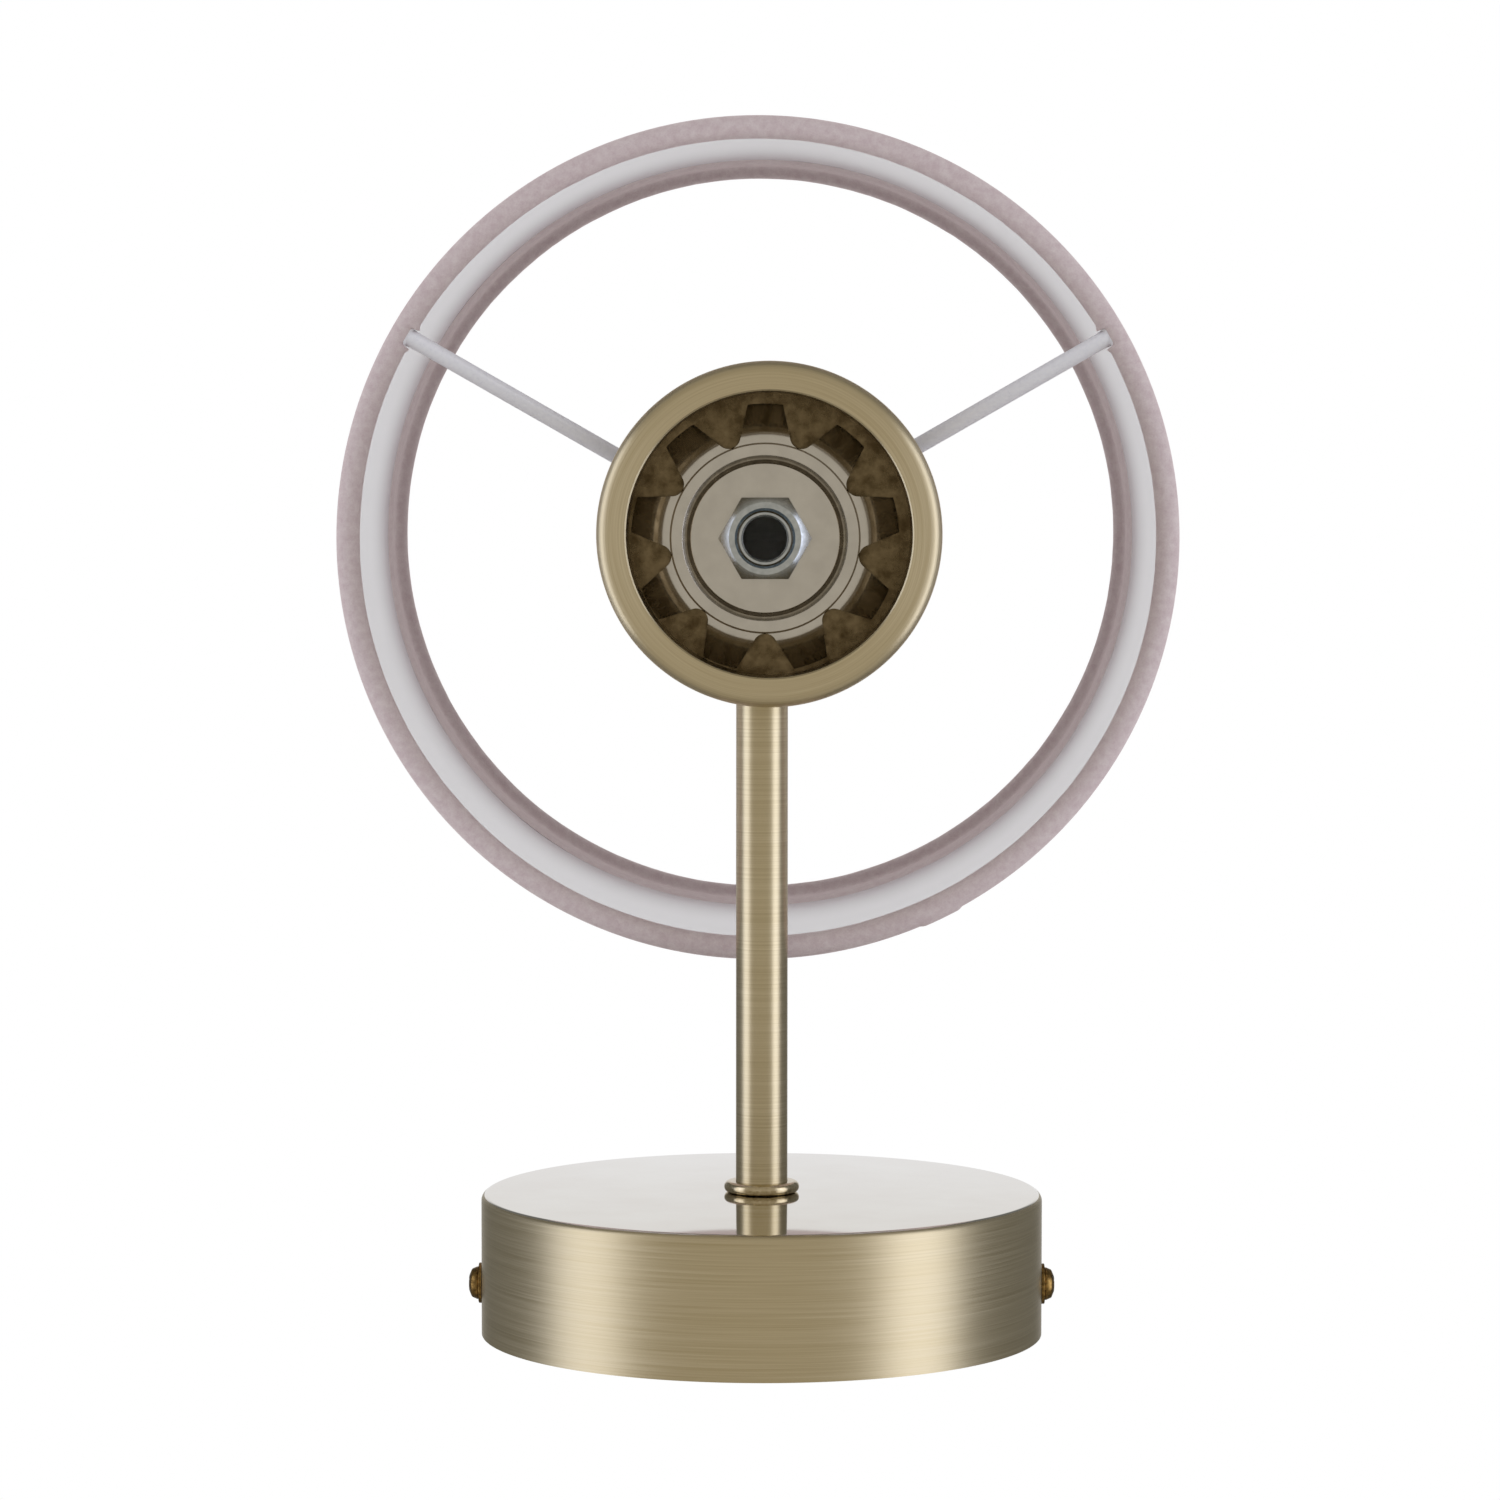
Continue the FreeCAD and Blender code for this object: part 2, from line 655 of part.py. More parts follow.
def make_shade_ring(flange_up):
    """Threaded ring on the skirt: a flange that meets the fitter and a fluted grip."""
    bore = skirt_radius + shade_ring_fit
    ring = turned([
        (bore, 0), (shade_ring_radius, 0, 0.3), (shade_ring_radius, shade_ring_flange, 0.3),
        (shade_ring_grip_radius, shade_ring_flange), (shade_ring_grip_radius, shade_ring_height, 0.5),
        (bore, shade_ring_height),
    ])
    flute = Part.makeCylinder(
        shade_ring_flute_radius, shade_ring_height, V(shade_ring_grip_radius + 0.4, 0, shade_ring_flange)
    )
    for i in range(shade_ring_flutes):
        ring = ring.cut(spun(flute, i * 360.0 / shade_ring_flutes))
    if flange_up:
        ring.rotate(V(0, 0, 0), V(1, 0, 0), 180)
        ring.translate(V(0, 0, shade_ring_height))
        return at(ring, holder_x, holder_y, seat_ring_z)
    return at(ring, holder_x, holder_y, clamp_ring_z)


def make_fitter():
    """Flat ring of the shade's frame that the two threaded rings clamp."""
    low, high = fitter_above_arm, fitter_above_arm + fitter_thickness
    return at(turned([
        (fitter_bore_radius, low), (fitter_outer_radius, low, 0.3),
        (fitter_outer_radius, high, 0.3), (fitter_bore_radius, high),
    ]), shade_x, shade_y)


def make_shade_wire(height):
    """Ring wire at one end of the shade."""
    return Part.makeTorus(shade_wire_ring, shade_wire_radius, V(shade_x, shade_y, height))


def spoke_bars(radius):
    """Three straight bars from the fitter out to the bottom ring wire."""
    bars = []
    middle = fitter_above_arm + fitter_thickness / 2
    for angle in spoke_angles:
        c, s = math.cos(math.radians(angle)), math.sin(math.radians(angle))
        start = (shade_x + spoke_start_radius * c, shade_y + spoke_start_radius * s, middle)
        end = (shade_x + shade_wire_ring * c, shade_y + shade_wire_ring * s, shade_wire_low_z)
        bars.append(rod(radius, start, end))
    return bars


def make_spokes(fitter, wire):
    """The spokes, trimmed where they are welded to the fitter and to the ring wire."""
    return [bar.cut(fitter).cut(wire) for bar in spoke_bars(spoke_radius)]


def make_cover():
    """Fabric drum, turned in round each ring wire to a hem on the lining, and open at the spokes."""
    inner = shade_radius - shade_cover_thickness
    wall = tube(shade_radius, inner, shade_wire_low_z, shade_wire_high_z)
    lined = inner - shade_lining_thickness
    cover = wall
    for height, inward in ((shade_wire_low_z, 1), (shade_wire_high_z, -1)):
        bead = Part.makeTorus(shade_wire_ring, shade_bead_radius, V(0, 0, height))
        start = height + inward * shade_wire_radius
        end = height + inward * shade_hem
        hem = tube(lined, lined - shade_hem_thickness, min(start, end), max(start, end))
        cover = cover.fuse(bead).fuse(hem)
    cover = cover.removeSplitter()
    for height in (shade_wire_low_z, shade_wire_high_z):
        channel = Part.makeTorus(shade_wire_ring, shade_wire_radius + shade_wire_fit, V(0, 0, height))
        cover = cover.cut(channel)
    cover = at(cover, shade_x, shade_y)
    for bar in spoke_bars(spoke_radius + 0.15):
        cover = cover.cut(bar)
    return cover


def make_lining():
    """White plastic sheet, rolled into a drum inside the fabric and between the two beads."""
    outer = shade_radius - shade_cover_thickness
    low = shade_wire_low_z + shade_bead_radius
    high = shade_wire_high_z - shade_bead_radius
    return at(tube(outer, outer - shade_lining_thickness, low, high), shade_x, shade_y)


def block_place(pole, height, depth):
    """A point on the terminal block: pole -1 to 1, depth below its top, height off the bracket."""
    return (pole * block_pitch, -bracket_thickness - depth, block_top - height)


def make_block():
    """Three-pole terminal block on the bracket."""
    half = block_width / 2
    front = -bracket_thickness - block_depth
    block = box((-half, front, block_top - block_height), (half, -bracket_thickness, block_top))
    for pole in (-1, 0, 1):
        block = block.cut(rod(
            block_sleeve_radius + block_sleeve_fit,
            block_place(pole, -0.1, block_sleeve_depth),
            block_place(pole, block_height + 0.1, block_sleeve_depth),
        ))
        for height in (block_height * 0.22, block_height * 0.78):
            block = block.cut(rod(
                block_screw_well_radius,
                block_place(pole, height, block_sleeve_depth), block_place(pole, height, block_depth + 0.1),
            ))
    x = block_pitch / 2
    z = block_top - block_height / 2
    block = block.cut(rod(block_foot_screw_radius + 0.15, (x, -bracket_thickness, z), (x, front, z)))
    head_seat = bracket_thickness + block_depth * 0.5
    return block.cut(rod(block_foot_screw_head_radius, (x, -head_seat, z), (x, front - 0.1, z)))


def make_block_sleeves():
    """Brass sleeves of the terminal block, cross-drilled for their clamp screws."""
    sleeves = []
    for pole in (-1, 0, 1):
        start = block_place(pole, 0.6, block_sleeve_depth)
        end = block_place(pole, block_height - 0.6, block_sleeve_depth)
        sleeve = rod(block_sleeve_radius, start, end).cut(rod(block_sleeve_bore, start, end))
        for height in (block_height * 0.22, block_height * 0.78):
            sleeve = sleeve.cut(rod(
                block_screw_radius + thread_clearance,
                block_place(pole, height, block_sleeve_depth), block_place(pole, height, block_depth),
            ))
        sleeves.append(sleeve)
    return sleeves


def make_block_screws():
    """Clamp screws of the terminal block, two to each pole."""
    screws = []
    for pole in (-1, 0, 1):
        for height in (block_height * 0.22, block_height * 0.78):
            start = block_place(pole, height, block_sleeve_depth + lead_radius)
            end = block_place(pole, height, block_depth - 1.6)
            x, y, z = end
            slot = box((x - 2, y - 1, z - 0.25), (x + 2, y + 0.8, z + 0.25))
            screws.append(rod(block_screw_radius, start, end).cut(slot))
    return screws


def make_block_foot_screw():
    """Screw through the terminal block into the bracket."""
    x = block_pitch / 2
    z = block_top - block_height / 2
    head = bracket_thickness + block_depth * 0.5
    shank = rod(block_foot_screw_radius, (x, -0.2, z), (x, -head, z))
    top = rod(block_foot_screw_head_radius - 0.15, (x, -head, z), (x, -head - 1.8, z))
    slot = box((x - 3, -head - 2.8, z - 0.3), (x + 3, -head - 1.0, z + 0.3))
    return shank.fuse(top).removeSplitter().cut(slot)


def make_earth_screw():
    """Screw that holds the earth lead's ring terminal to the bracket."""
    under = bracket_thickness + earth_ring_thickness
    shank = rod(earth_screw_radius, (earth_x, -0.1, earth_z), (earth_x, -under, earth_z))
    head = turned([
        (0, 0), (earth_screw_head_radius, 0, 0.2), (earth_screw_head_radius, earth_screw_head_height, 0.9),
        (0, earth_screw_head_height),
    ])
    head = at(on_arm(head), earth_x, -under, earth_z)
    slot = box(
        (earth_x - 5, -under - earth_screw_head_height - 1, earth_z - 0.45),
        (earth_x + 5, -under - earth_screw_head_height + 1.0, earth_z + 0.45),
    )
    return shank.fuse(head).removeSplitter().cut(slot)


def make_earth_ring():
    """Ring terminal with a crimped barrel round the earth lead's end."""
    back = bracket_thickness
    ring = on_arm(tube(earth_ring_radius, earth_screw_radius + 0.1, back, back + earth_ring_thickness))
    ring = at(ring, earth_x, 0, earth_z)
    barrel_top = earth_z - earth_ring_radius - 0.6
    depth = back + earth_barrel_radius
    neck = box(
        (earth_x - 1.2, -back - earth_ring_thickness, barrel_top - 0.5),
        (earth_x + 1.2, -back, earth_z - earth_screw_radius - 0.6),
    )
    start = (earth_x, -depth, barrel_top)
    end = (earth_x, -depth, barrel_top - earth_barrel_length)
    barrel = rod(earth_barrel_radius, start, end)
    ring = ring.fuse(neck).fuse(barrel).removeSplitter()
    bore_top = barrel_top - 1.0
    bore_low = bore_top - earth_barrel_length
    return ring.cut(rod(lead_radius + 0.02, (earth_x, -depth, bore_top), (earth_x, -depth, bore_low)))


def make_lamp_lead(side):
    """Live or neutral lead: from the terminal block through the arm to the lampholder's terminal."""
    gap = side * lead_half_gap
    in_block = -bracket_thickness - block_sleeve_depth
    pole_x = -block_pitch if side < 0 else 0.0
    end_x = holder_x + side * terminal_spread
    end_z = cap_top_above_arm - insert_foot_length + terminal_hole_depth - 0.5
    start_z = block_top - block_height * 0.35
    points = [(pole_x, in_block, start_z)]
    bends = [0]
    if side < 0:
        points += [(pole_x, in_block, -2.0), (gap, -12.0, 0.0)]
        bends += [lead_bend, lead_bend]
    else:
        points += [(pole_x, in_block, 0.0), (gap, -11.0, 0.0)]
        bends += [lead_bend, 2 * lead_bend]
    points += [(gap, lamp_y + cup_belt_radius - 2.5, 0.0), (end_x, holder_y, 0.0), (end_x, holder_y, end_z)]
    bends += [4 * lead_bend, lead_bend, 0]
    return lead(points, bends)


def make_earth_lead():
    """Earth lead from the terminal block up to the ring terminal."""
    in_block = -bracket_thickness - block_sleeve_depth
    in_barrel = -bracket_thickness - earth_barrel_radius
    start_z = block_top - block_height * 0.35
    barrel_z = earth_z - earth_ring_radius - 0.6 - earth_barrel_length
    points = [
        (earth_x, in_block, start_z), (earth_x, in_block, -3.0),
        (earth_x, in_barrel, barrel_z - 3.0), (earth_x, in_barrel, barrel_z + earth_barrel_length - 1.2),
    ]
    return lead(points, [0, 2 * lead_bend, 2 * lead_bend, 0])


os.makedirs("parts", exist_ok=True)

# Canopy, bracket and what they hold
save("canopy", make_canopy())
save("wall_bracket", make_bracket())
save("canopy_screw_left", make_canopy_screw(-1))
save("canopy_screw_right", make_canopy_screw(1))
save("canopy_washer_left", make_canopy_washer(-1))
save("canopy_washer_right", make_canopy_washer(1))
save("terminal_block", make_block())
save("terminal_sleeves", *make_block_sleeves())
save("terminal_clamp_screws", *make_block_screws())
save("terminal_block_screw", make_block_foot_screw())
save("earth_screw", make_earth_screw())
save("earth_ring_terminal", make_earth_ring())

# Arm
save("arm_tube", make_arm())
save("arm_collar", make_collar())
save("arm_lock_washer", make_arm_washer())
save("arm_lock_nut", make_arm_nut())

# Cup and lampholder
save("lamp_cup", make_cup())
save("claw_disc", make_claw_disc())
save("claw_disc_nut", make_disc_nut())
save("threaded_nipple", make_nipple())
save("lampholder_cap", make_cap())
save("lampholder_body", make_holder_body())
save("lampholder_insert", make_insert())
save("bulb_thread_shell", make_thread_shell())
save("centre_contact", make_centre_contact())
save("lampholder_terminal_screws", *make_terminal_screws())
save("shade_seat_ring", make_shade_ring(True))

# Leads
save("live_lead", make_lamp_lead(-1))
save("neutral_lead", make_lamp_lead(1))
save("earth_lead", make_earth_lead())

# Shade and its clamp ring
save("shade_clamp_ring", make_shade_ring(False))
fitter = make_fitter()
bottom_wire = make_shade_wire(shade_wire_low_z)
save("shade_fitter", fitter)
save("shade_bottom_wire", bottom_wire)
save("shade_top_wire", make_shade_wire(shade_wire_high_z))
save("shade_spokes", *make_spokes(fitter, bottom_wire))
save("shade_lining", make_lining())
save("shade_cover", make_cover())
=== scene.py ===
# %% [markdown]
# # A wall sconce with a velvet drum shade
# The lamp is a round canopy on the wall, a straight arm, a turned cup that holds the lampholder,
# and a drum shade above it. The solids are already made. This lesson gives them their finishes
# and remakes the pieces whose surface or shape a solid can't show, such as cloth and brushed metal.

# %% Load the solids
import bmesh
import bpy
import json
import math
from mathutils import Matrix, Vector, noise

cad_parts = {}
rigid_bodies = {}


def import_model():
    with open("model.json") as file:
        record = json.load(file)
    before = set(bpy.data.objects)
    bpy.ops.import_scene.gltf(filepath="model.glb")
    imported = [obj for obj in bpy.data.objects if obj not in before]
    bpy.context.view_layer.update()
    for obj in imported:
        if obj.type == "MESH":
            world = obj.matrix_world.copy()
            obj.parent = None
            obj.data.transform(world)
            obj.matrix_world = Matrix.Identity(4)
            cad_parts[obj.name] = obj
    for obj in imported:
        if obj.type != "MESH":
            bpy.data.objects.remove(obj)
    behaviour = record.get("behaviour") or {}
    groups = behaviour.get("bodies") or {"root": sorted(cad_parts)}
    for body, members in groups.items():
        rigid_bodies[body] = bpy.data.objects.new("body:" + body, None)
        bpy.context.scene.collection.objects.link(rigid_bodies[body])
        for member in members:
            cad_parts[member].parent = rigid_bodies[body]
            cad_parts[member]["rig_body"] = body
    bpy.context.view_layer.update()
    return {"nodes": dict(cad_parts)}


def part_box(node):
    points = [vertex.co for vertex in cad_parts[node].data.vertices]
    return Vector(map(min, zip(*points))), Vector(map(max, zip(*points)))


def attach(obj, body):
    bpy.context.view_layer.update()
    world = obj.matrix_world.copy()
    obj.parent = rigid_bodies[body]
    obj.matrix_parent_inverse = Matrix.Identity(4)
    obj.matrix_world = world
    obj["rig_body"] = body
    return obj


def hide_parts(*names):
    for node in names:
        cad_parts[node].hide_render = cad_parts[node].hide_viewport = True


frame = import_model()
nodes = frame["nodes"]
MM = 0.001

# %% [markdown]
# ## The places of the main axes
# The canopy and the arm share one axis, the line along Y through the origin. The cup, the
# lampholder and the shade stand on upright axes. On the real lamp each has a little slack, and so
# have the solids, so each place is read from its own solid.

# %% Read the axes from the solids
def middle(name):
    """The middle of the solid's box, in millimetres."""
    low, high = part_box(name)
    return (low + high) / 2 / MM


cup_centre = middle("lamp_cup")
holder_centre = middle("claw_disc_nut")
shade_centre = middle("shade_fitter")
canopy_centre = Vector((0, 0, 0))
print("cup", cup_centre.xy, "holder", holder_centre.xy, "shade", shade_centre.xy)

# %% [markdown]
# ## The camera
# The lamp is seen from straight below its cup, from 830 mm, with a long lens. The camera looks up
# the cup's axis, so the arm and the canopy run down the picture. It is turned a little towards the
# canopy instead of shifted, so that other views, which keep the shift, stay centred.

# %% Camera
def shown(name, data):
    """A new object with this data, at the origin and in the scene."""
    made = bpy.data.objects.new(name, data)
    bpy.context.scene.collection.objects.link(made)
    return made


def aimed(place, right, up, ahead):
    """Where a camera or a lamp stands and how it is turned, to look ahead."""
    return Matrix.Translation(place) @ Matrix((right, up, -ahead)).transposed().to_4x4()


eye = Vector((3.07, -150.32, -834.3)) * MM
ahead = Vector((-0.00624, 0.0555, 1.0)).normalized()
upright = Vector((-0.00072, -1, 0))
right = ahead.cross(upright).normalized()
optics = bpy.data.cameras.new("camera")
optics.lens = 112.8
optics.sensor_width = 36.0
optics.clip_start = 0.05
optics.clip_end = 50.0
camera = shown("camera", optics)
camera.matrix_world = aimed(eye, right, right.cross(ahead), ahead)
bpy.context.scene.camera = camera
bpy.context.scene.view_settings.view_transform = "Standard"
print("camera", [round(v, 3) for v in eye])

# %% [markdown]
# ## Small helpers for materials
# Every finish is a tree of nodes. One function adds a node with its settings and links, and one
# turns a colour as it is written on a screen into the linear values that Blender works with. Most
# finishes are made in the same way: one pattern, in real millimetres, moves the colour, the gloss
# and a slight relief together, because a speck on a real surface changes all three.

# %% Helpers for materials
# A Mix node has sockets of the same names for numbers and for colours, so they are reached by place.
SHARE = 0
NUMBER_A, NUMBER_B, NUMBER_OUT = 2, 3, 0
COLOUR_A, COLOUR_B, COLOUR_OUT = 6, 7, 2
# Blender's noise seldom leaves this range, so patterns are stretched from it to 0 and 1.
NOISE_LOW, NOISE_HIGH = 0.3, 0.7


def tint(code):
    """A colour from its sRGB hex value, as linear RGBA."""
    channels = [int(code[i:i + 2], 16) / 255 for i in (1, 3, 5)]
    return [c / 12.92 if c <= 0.04045 else ((c + 0.055) / 1.055) ** 2.4 for c in channels] + [1.0]


def add(tree, kind, settings=None, inputs=None):
    """One node, with its settings, and a value or a link for each input."""
    made = tree.nodes.new(kind)
    for name, value in (settings or {}).items():
        setattr(made, name, value)
    for name, value in (inputs or {}).items():
        if isinstance(value, bpy.types.NodeSocket):
            tree.links.new(value, made.inputs[name])
        else:
            made.inputs[name].default_value = value
    return made


def feed(tree, socket, output):
    """A link from a pattern into the surface shader."""
    tree.links.new(output, tree.nodes["Principled BSDF"].inputs[socket])


def start_finish(name, **surface):
    """A new material, with the numbers of its surface set on the shader's own sockets."""
    material = bpy.data.materials.new(name)
    material.use_nodes = True
    shader = material.node_tree.nodes["Principled BSDF"]
    for socket, value in surface.items():
        shader.inputs[socket.replace("_", " ")].default_value = value
    return material


def specks(tree, size_mm, detail=2.0, stretch=(1, 1, 1), low=NOISE_LOW, high=NOISE_HIGH):
    """Soft specks in the object's own millimetres, from 0 at the low level to 1 at the high."""
    place = add(tree, "ShaderNodeTexCoord").outputs["Object"]
    scale = [1 / (size_mm * MM * s) for s in stretch]
    spread = add(tree, "ShaderNodeMapping", None, {"Vector": place, "Scale": scale})
    noise_at = add(tree, "ShaderNodeTexNoise", None, {
        "Vector": spread.outputs["Vector"], "Scale": 1.0, "Detail": detail, "Roughness": 0.6,
    })
    level = add(tree, "ShaderNodeMapRange", None, {
        "Value": noise_at.outputs["Fac"], "From Min": low, "From Max": high,
    })
    return level.outputs["Result"]


def surface_from(material, pattern, dark, pale, gloss, relief_mm):
    """Colour, roughness and relief of the surface, from the pattern's 0 to its 1."""
    tree = material.node_tree
    colour = add(tree, "ShaderNodeMix", {"data_type": "RGBA"}, {
        SHARE: pattern, COLOUR_A: tint(dark), COLOUR_B: tint(pale),
    })
    feed(tree, "Base Color", colour.outputs[COLOUR_OUT])
    rough = add(tree, "ShaderNodeMapRange", None, {
        "Value": pattern, "To Min": gloss[0], "To Max": gloss[1],
    })
    feed(tree, "Roughness", rough.outputs["Result"])
    lifted = add(tree, "ShaderNodeBump", None, {
        "Height": pattern, "Distance": relief_mm * MM, "Strength": 0.5,
    })
    feed(tree, "Normal", lifted.outputs["Normal"])
    return material


# %% [markdown]
# ## Brushed antique brass
# Antique brass is brass plate that was darkened, brushed back with a fine belt and lacquered.
# Brushing leaves hair lines that run round a turned piece, so a lamp's reflection spreads across
# the lines and stays narrow along them. The pattern is noise that changes quickly with the height
# and the distance from the piece's axis, and slowly round it. Real hair lines are about 0.1 mm
# wide; they are drawn 0.25 mm wide, because finer ones wouldn't show.

# %% Brushed metal
HAIR_LINE = 0.25
ALONG_LINE = 30.0
BRUSHED_RELIEF = 0.0015


def hair_lines(tree, axis, centre):
    """Noise in rings about an axis: fine across the hair lines and long along them."""
    place = add(tree, "ShaderNodeTexCoord").outputs["Object"]
    centred = add(tree, "ShaderNodeVectorMath", {"operation": "SUBTRACT"}, {
        0: place, 1: [c * MM for c in centre],
    }).outputs["Vector"]
    parts = add(tree, "ShaderNodeSeparateXYZ", None, {"Vector": centred}).outputs
    first, second = {"Y": (parts["X"], parts["Z"]), "Z": (parts["X"], parts["Y"])}[axis]
    flat = add(tree, "ShaderNodeCombineXYZ", None, {"X": first, "Y": second})
    radius = add(tree, "ShaderNodeVectorMath", {"operation": "LENGTH"}, {0: flat.outputs["Vector"]})
    slow, fast = 1 / (ALONG_LINE * MM), 1 / (HAIR_LINE * MM)
    scaled = [
        add(tree, "ShaderNodeMath", {"operation": "MULTIPLY"}, {0: value, 1: factor}).outputs["Value"]
        for value, factor in (
            (first, slow), (second, slow), (radius.outputs["Value"], fast), (parts[axis], fast),
        )
    ]
    spot = add(tree, "ShaderNodeCombineXYZ", None, {"X": scaled[0], "Y": scaled[1], "Z": scaled[2]})
    lines = add(tree, "ShaderNodeTexNoise", {"noise_dimensions": "4D"}, {
        "Vector": spot.outputs["Vector"], "W": scaled[3],
        "Scale": 1.0, "Detail": 3.0, "Roughness": 0.6,
    })
    level = add(tree, "ShaderNodeMapRange", None, {
        "Value": lines.outputs["Fac"], "From Min": NOISE_LOW, "From Max": NOISE_HIGH,
    })
    return level.outputs["Result"]


def brushed(name, axis, centre, dark, pale, gloss, anisotropy):
    """Metal brushed round an axis. Dark and pale are the colours between and on the hair lines."""
    material = start_finish(name, Metallic=1.0, Anisotropic=anisotropy, Anisotropic_Rotation=0.25)
    tree = material.node_tree
    surface_from(material, hair_lines(tree, axis, centre), dark, pale, gloss, BRUSHED_RELIEF)
    tangent = add(tree, "ShaderNodeTangent", {"direction_type": "RADIAL", "axis": axis})
    feed(tree, "Tangent", tangent.outputs["Tangent"])
    return material


# Brushed and lacquered antique brass: soft straight bands of light, dull gold, never a mirror.
brass = ("#C9BB98", "#DED2B4")
canopy_side_brass = brushed("brushed_brass_canopy", "Y", canopy_centre, *brass, (0.38, 0.46), 0.4)
arm_brass = brushed("brushed_brass_arm", "Y", canopy_centre, *brass, (0.34, 0.42), 0.4)
# The cup was brushed back further than the rest, so it is a little paler and glossier.
cup_brass = brushed("brushed_brass_cup", "Z", cup_centre, "#D0C2A0", "#E5D9BB", (0.3, 0.4), 0.75)
print("brass from", brass[0], "to", brass[1])

# %% [markdown]
# ## Polished and darkened brass
# The canopy's face is polished before it is plated, so it mirrors the room with only a faint haze.
# The two canopy screws are the same metal left dark, with the high places rubbed bright. Inside the
# cup the metal is drawn darker and browner than outside, with cloudy patches.

# %% Polished and darkened brass
def metal(name, dark, pale, gloss, speck_mm, relief_mm=0.0003, detail=2.0, stretch=(1, 1, 1)):
    """A metal with soft spots in its colour and its gloss, and a slight relief."""
    material = start_finish(name, Metallic=1.0)
    spots = specks(material.node_tree, speck_mm, detail, stretch)
    return surface_from(material, spots, dark, pale, gloss, relief_mm)


# Polished, plated brass: a clean mirror with a slight haze.
face_brass = metal("polished_brass_face", "#D8D2C6", "#DEDACF", (0.04, 0.06), 14.0, 0.0005)
# Polished brass bead: small sharp lights with soft edges.
bead_brass = metal("polished_brass_bead", "#BFB08E", "#DDD0B2", (0.16, 0.26), 0.6, 0.002)
# Dark brass screws: brown in the hollows and gold on the rubbed high places.
dark_brass = metal("dark_brass", "#5A4526", "#B08F55", (0.42, 0.28), 0.8, 0.01, 3.0)
# Inside of the cup and the canopy: darker and browner than the outside brass, with cloudy, dull
# patches.
cup_inside = metal(
    "cloudy_brown_metal", "#5C4D33", "#8A7A5E", (0.34, 0.18), 2.6, 0.001, 5.0, (1, 1, 1.6))
print("polished face:", face_brass.name, "- inside of the cup:", cup_inside.name)

# %% [markdown]
# ## Plated steel, bare brass and tinned copper
# The claw disc is pressed from spring steel and nickel plated, which is a warm, soft grey. The nut
# and the nipple have bright zinc plate, which is a cold grey with small dull spots. The parts that
# no one sees have plain zinc, bare brass or tin.

# %% Plated steel and small metals
# Nickel is warm grey and satin. In the groove it is rougher and painted a darker grey, as painted
# shade. Bright zinc is cold and sharper, and plain zinc is dull.
nickel = metal("nickel_plated_spring_steel", "#D6D3CE", "#E0DDD8", (0.24, 0.2), 4.0)
painted_groove_nickel = metal("nickel_painted_groove_shade", "#8F897E", "#A59E92", (0.32, 0.26), 1.5)
bright_zinc = metal("bright_zinc_plated_steel", "#BFC6CC", "#D3DAE0", (0.24, 0.18), 0.9)
plain_zinc = metal("zinc_plated_steel", "#9A9C9C", "#C2C5C6", (0.44, 0.28), 1.6)
# Bare brass is yellow with a soft gloss, and tinned copper is a matt silver.
bare_brass = metal("bare_brass", "#B08A45", "#DDBB74", (0.33, 0.18), 1.4)
tin = metal("tinned_copper", "#A9A59C", "#D0CCC2", (0.38, 0.22), 0.8)
print("plated:", nickel.name, bright_zinc.name, plain_zinc.name)

# %% [markdown]
# ## Plastics, ceramic and powder coat
# The lampholder is moulded phenolic, which is black with a low, even gloss. Its insert is glazed
# ceramic. The terminal block and the leads are softer plastics. The shade's wires have white powder
# coat, whose skin is a fine orange peel.

# %% Moulded, glazed and coated surfaces
def moulded(name, dark, pale, roughness, speck_mm, depth_mm, **surface):
    """A surface of nearly one colour with a fine relief and an uneven gloss."""
    material = start_finish(name, **surface)
    pattern = specks(material.node_tree, speck_mm)
    gloss = (roughness - 0.05, roughness + 0.05)
    return surface_from(material, pattern, dark, pale, gloss, depth_mm)


# Moulded phenolic: black, with a low gloss that shows as grey edges.
phenolic = moulded("moulded_black_phenolic", "#151413", "#1E1D1B", 0.38, 0.5, 0.01, IOR=1.6)
# Glazed steatite: warm white, wet-looking.
ceramic = moulded("glazed_white_steatite", "#DFDBCF", "#E9E5DA", 0.16, 2.5, 0.02, IOR=1.52)
# Moulded polyamide: milky white, soft gloss.
polyamide = moulded("moulded_white_polyamide", "#D6D4CA", "#E0DED5", 0.45, 0.6, 0.01, IOR=1.53)
# Powder coat on wire: white with a fine orange peel.
powder_coat = moulded("white_powder_coat", "#E6E6EC", "#EEEEF2", 0.32, 0.7, 0.02, IOR=1.5)
# Extruded PVC insulation: even colour, with a thin line of light along the wire.
brown_insulation = moulded(
    "extruded_brown_insulation", "#56301D", "#603822", 0.42, 0.5, 0.01, IOR=1.53)
blue_insulation = moulded(
    "extruded_blue_insulation", "#204A93", "#2856A1", 0.42, 0.5, 0.01, IOR=1.53)
print("moulded:", phenolic.name, polyamide.name)

# %% [markdown]
# ### Two colours on one wire
# The earth lead's insulation is extruded from green and yellow plastic side by side. The wire's own
# UV map runs round it in Y, so one comparison of that number parts the two colours.

